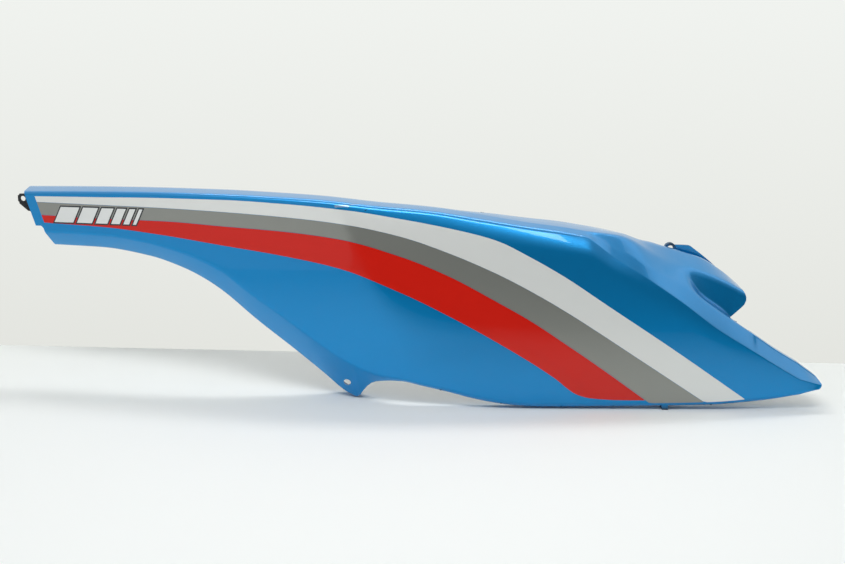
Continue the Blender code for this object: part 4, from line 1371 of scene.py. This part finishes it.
wall_corners = ((-SPREAD, wall_left, 0), (SPREAD, wall_right, 0),
                (SPREAD, wall_right, WALL_HEIGHT), (-SPREAD, wall_left, WALL_HEIGHT))
wall, tree, shader = stage_plane("wall", wall_corners)
coordinates = node(tree, "ShaderNodeTexCoord")
place = node(tree, "ShaderNodeSeparateXYZ")
tree.links.new(coordinates.outputs["Object"], place.inputs[0])
# Painted shade: the wall's colour darkens from its top towards the floor
height_share = math_node(tree, "DIVIDE", place.outputs["Z"], WALL_SHADE_HEIGHT, clamp=True)
shade = mix_colour(tree, height_share, WALL_PAINTED_SHADE_LOW, WALL_COLOUR_HIGH)
tree.links.new(shade, shader.inputs["Base Color"])
plain = node(tree, "ShaderNodeEmission")
tree.links.new(shade, plain.inputs["Color"])
rays = node(tree, "ShaderNodeLightPath")
seen = math_node(tree, "MAXIMUM", rays.outputs["Is Camera Ray"], rays.outputs["Is Glossy Ray"])
seen = math_node(tree, "MAXIMUM", seen, rays.outputs["Is Transmission Ray"])
mix = node(tree, "ShaderNodeMixShader")
tree.links.new(seen, mix.inputs[0])
tree.links.new(shader.outputs[0], mix.inputs[1])
tree.links.new(plain.outputs[0], mix.inputs[2])
clear_from_behind(tree, mix.outputs[0])
wall.visible_shadow = False
print("wall from", round(wall_left, 3), "to", round(wall_right, 3), "m behind")

# %% World light
BASE_LEVEL = 0.06
LEFT_LEVEL = 0.3
CEILING_LEVEL = 0.35

world = bpy.data.worlds.new("studio")
bpy.context.scene.world = world
world.use_nodes = True
tree = world.node_tree
background = tree.nodes["Background"]
coordinates = node(tree, "ShaderNodeTexCoord")
direction = node(tree, "ShaderNodeSeparateXYZ")
tree.links.new(coordinates.outputs["Generated"], direction.inputs[0])
left_side = node(tree, "ShaderNodeMapRange", interpolation_type="SMOOTHSTEP")
set_input(left_side, From_Min=-0.1, From_Max=-0.6, To_Min=0.0, To_Max=LEFT_LEVEL)
tree.links.new(direction.outputs["X"], left_side.inputs["Value"])
ceiling = node(tree, "ShaderNodeMapRange", interpolation_type="SMOOTHSTEP")
set_input(ceiling, From_Min=0.3, From_Max=0.9, To_Min=0.0, To_Max=CEILING_LEVEL)
tree.links.new(direction.outputs["Z"], ceiling.inputs["Value"])
level = math_node(tree, "ADD", left_side.outputs["Result"], ceiling.outputs["Result"])
level = math_node(tree, "ADD", level, BASE_LEVEL)
tree.links.new(level, background.inputs["Strength"])
background.inputs["Color"].default_value = (0.97, 0.99, 1.0, 1.0)
print("world light:", BASE_LEVEL, "all round,", LEFT_LEVEL, "more at the left,", CEILING_LEVEL, "more above")

# %% Softboxes
def softbox(name, place, aim, width, height, power):
    data = bpy.data.lights.new(name, "AREA")
    data.shape = "RECTANGLE"
    data.size = width
    data.size_y = height
    data.energy = power
    lamp = bpy.data.objects.new(name, data)
    bpy.context.scene.collection.objects.link(lamp)
    lamp.location = place
    lamp.rotation_euler = (Vector(aim) - Vector(place)).to_track_quat("-Z", "Y").to_euler()
    print(name, power, "W")


softbox("front_softbox", (-0.05, -0.8, 1.3), (-0.05, 0.0, 0.1), 1.2, 0.35, 10.0)
softbox("rear_softbox", (0.0, 0.46, 1.3), (0.0, 0.0, 0.1), 1.2, 0.2, 5.2)
softbox("right_softbox", (1.2, 0.3, 1.2), (0.25, 0.0, 0.12), 1.0, 0.9, 2.4)
softbox("left_softbox", (-1.5, -1.9, 0.6), (0.0, 0.0, 0.1), 1.3, 1.2, 2.4)

# %% Last settings
bpy.context.scene.view_settings.view_transform = "Standard"
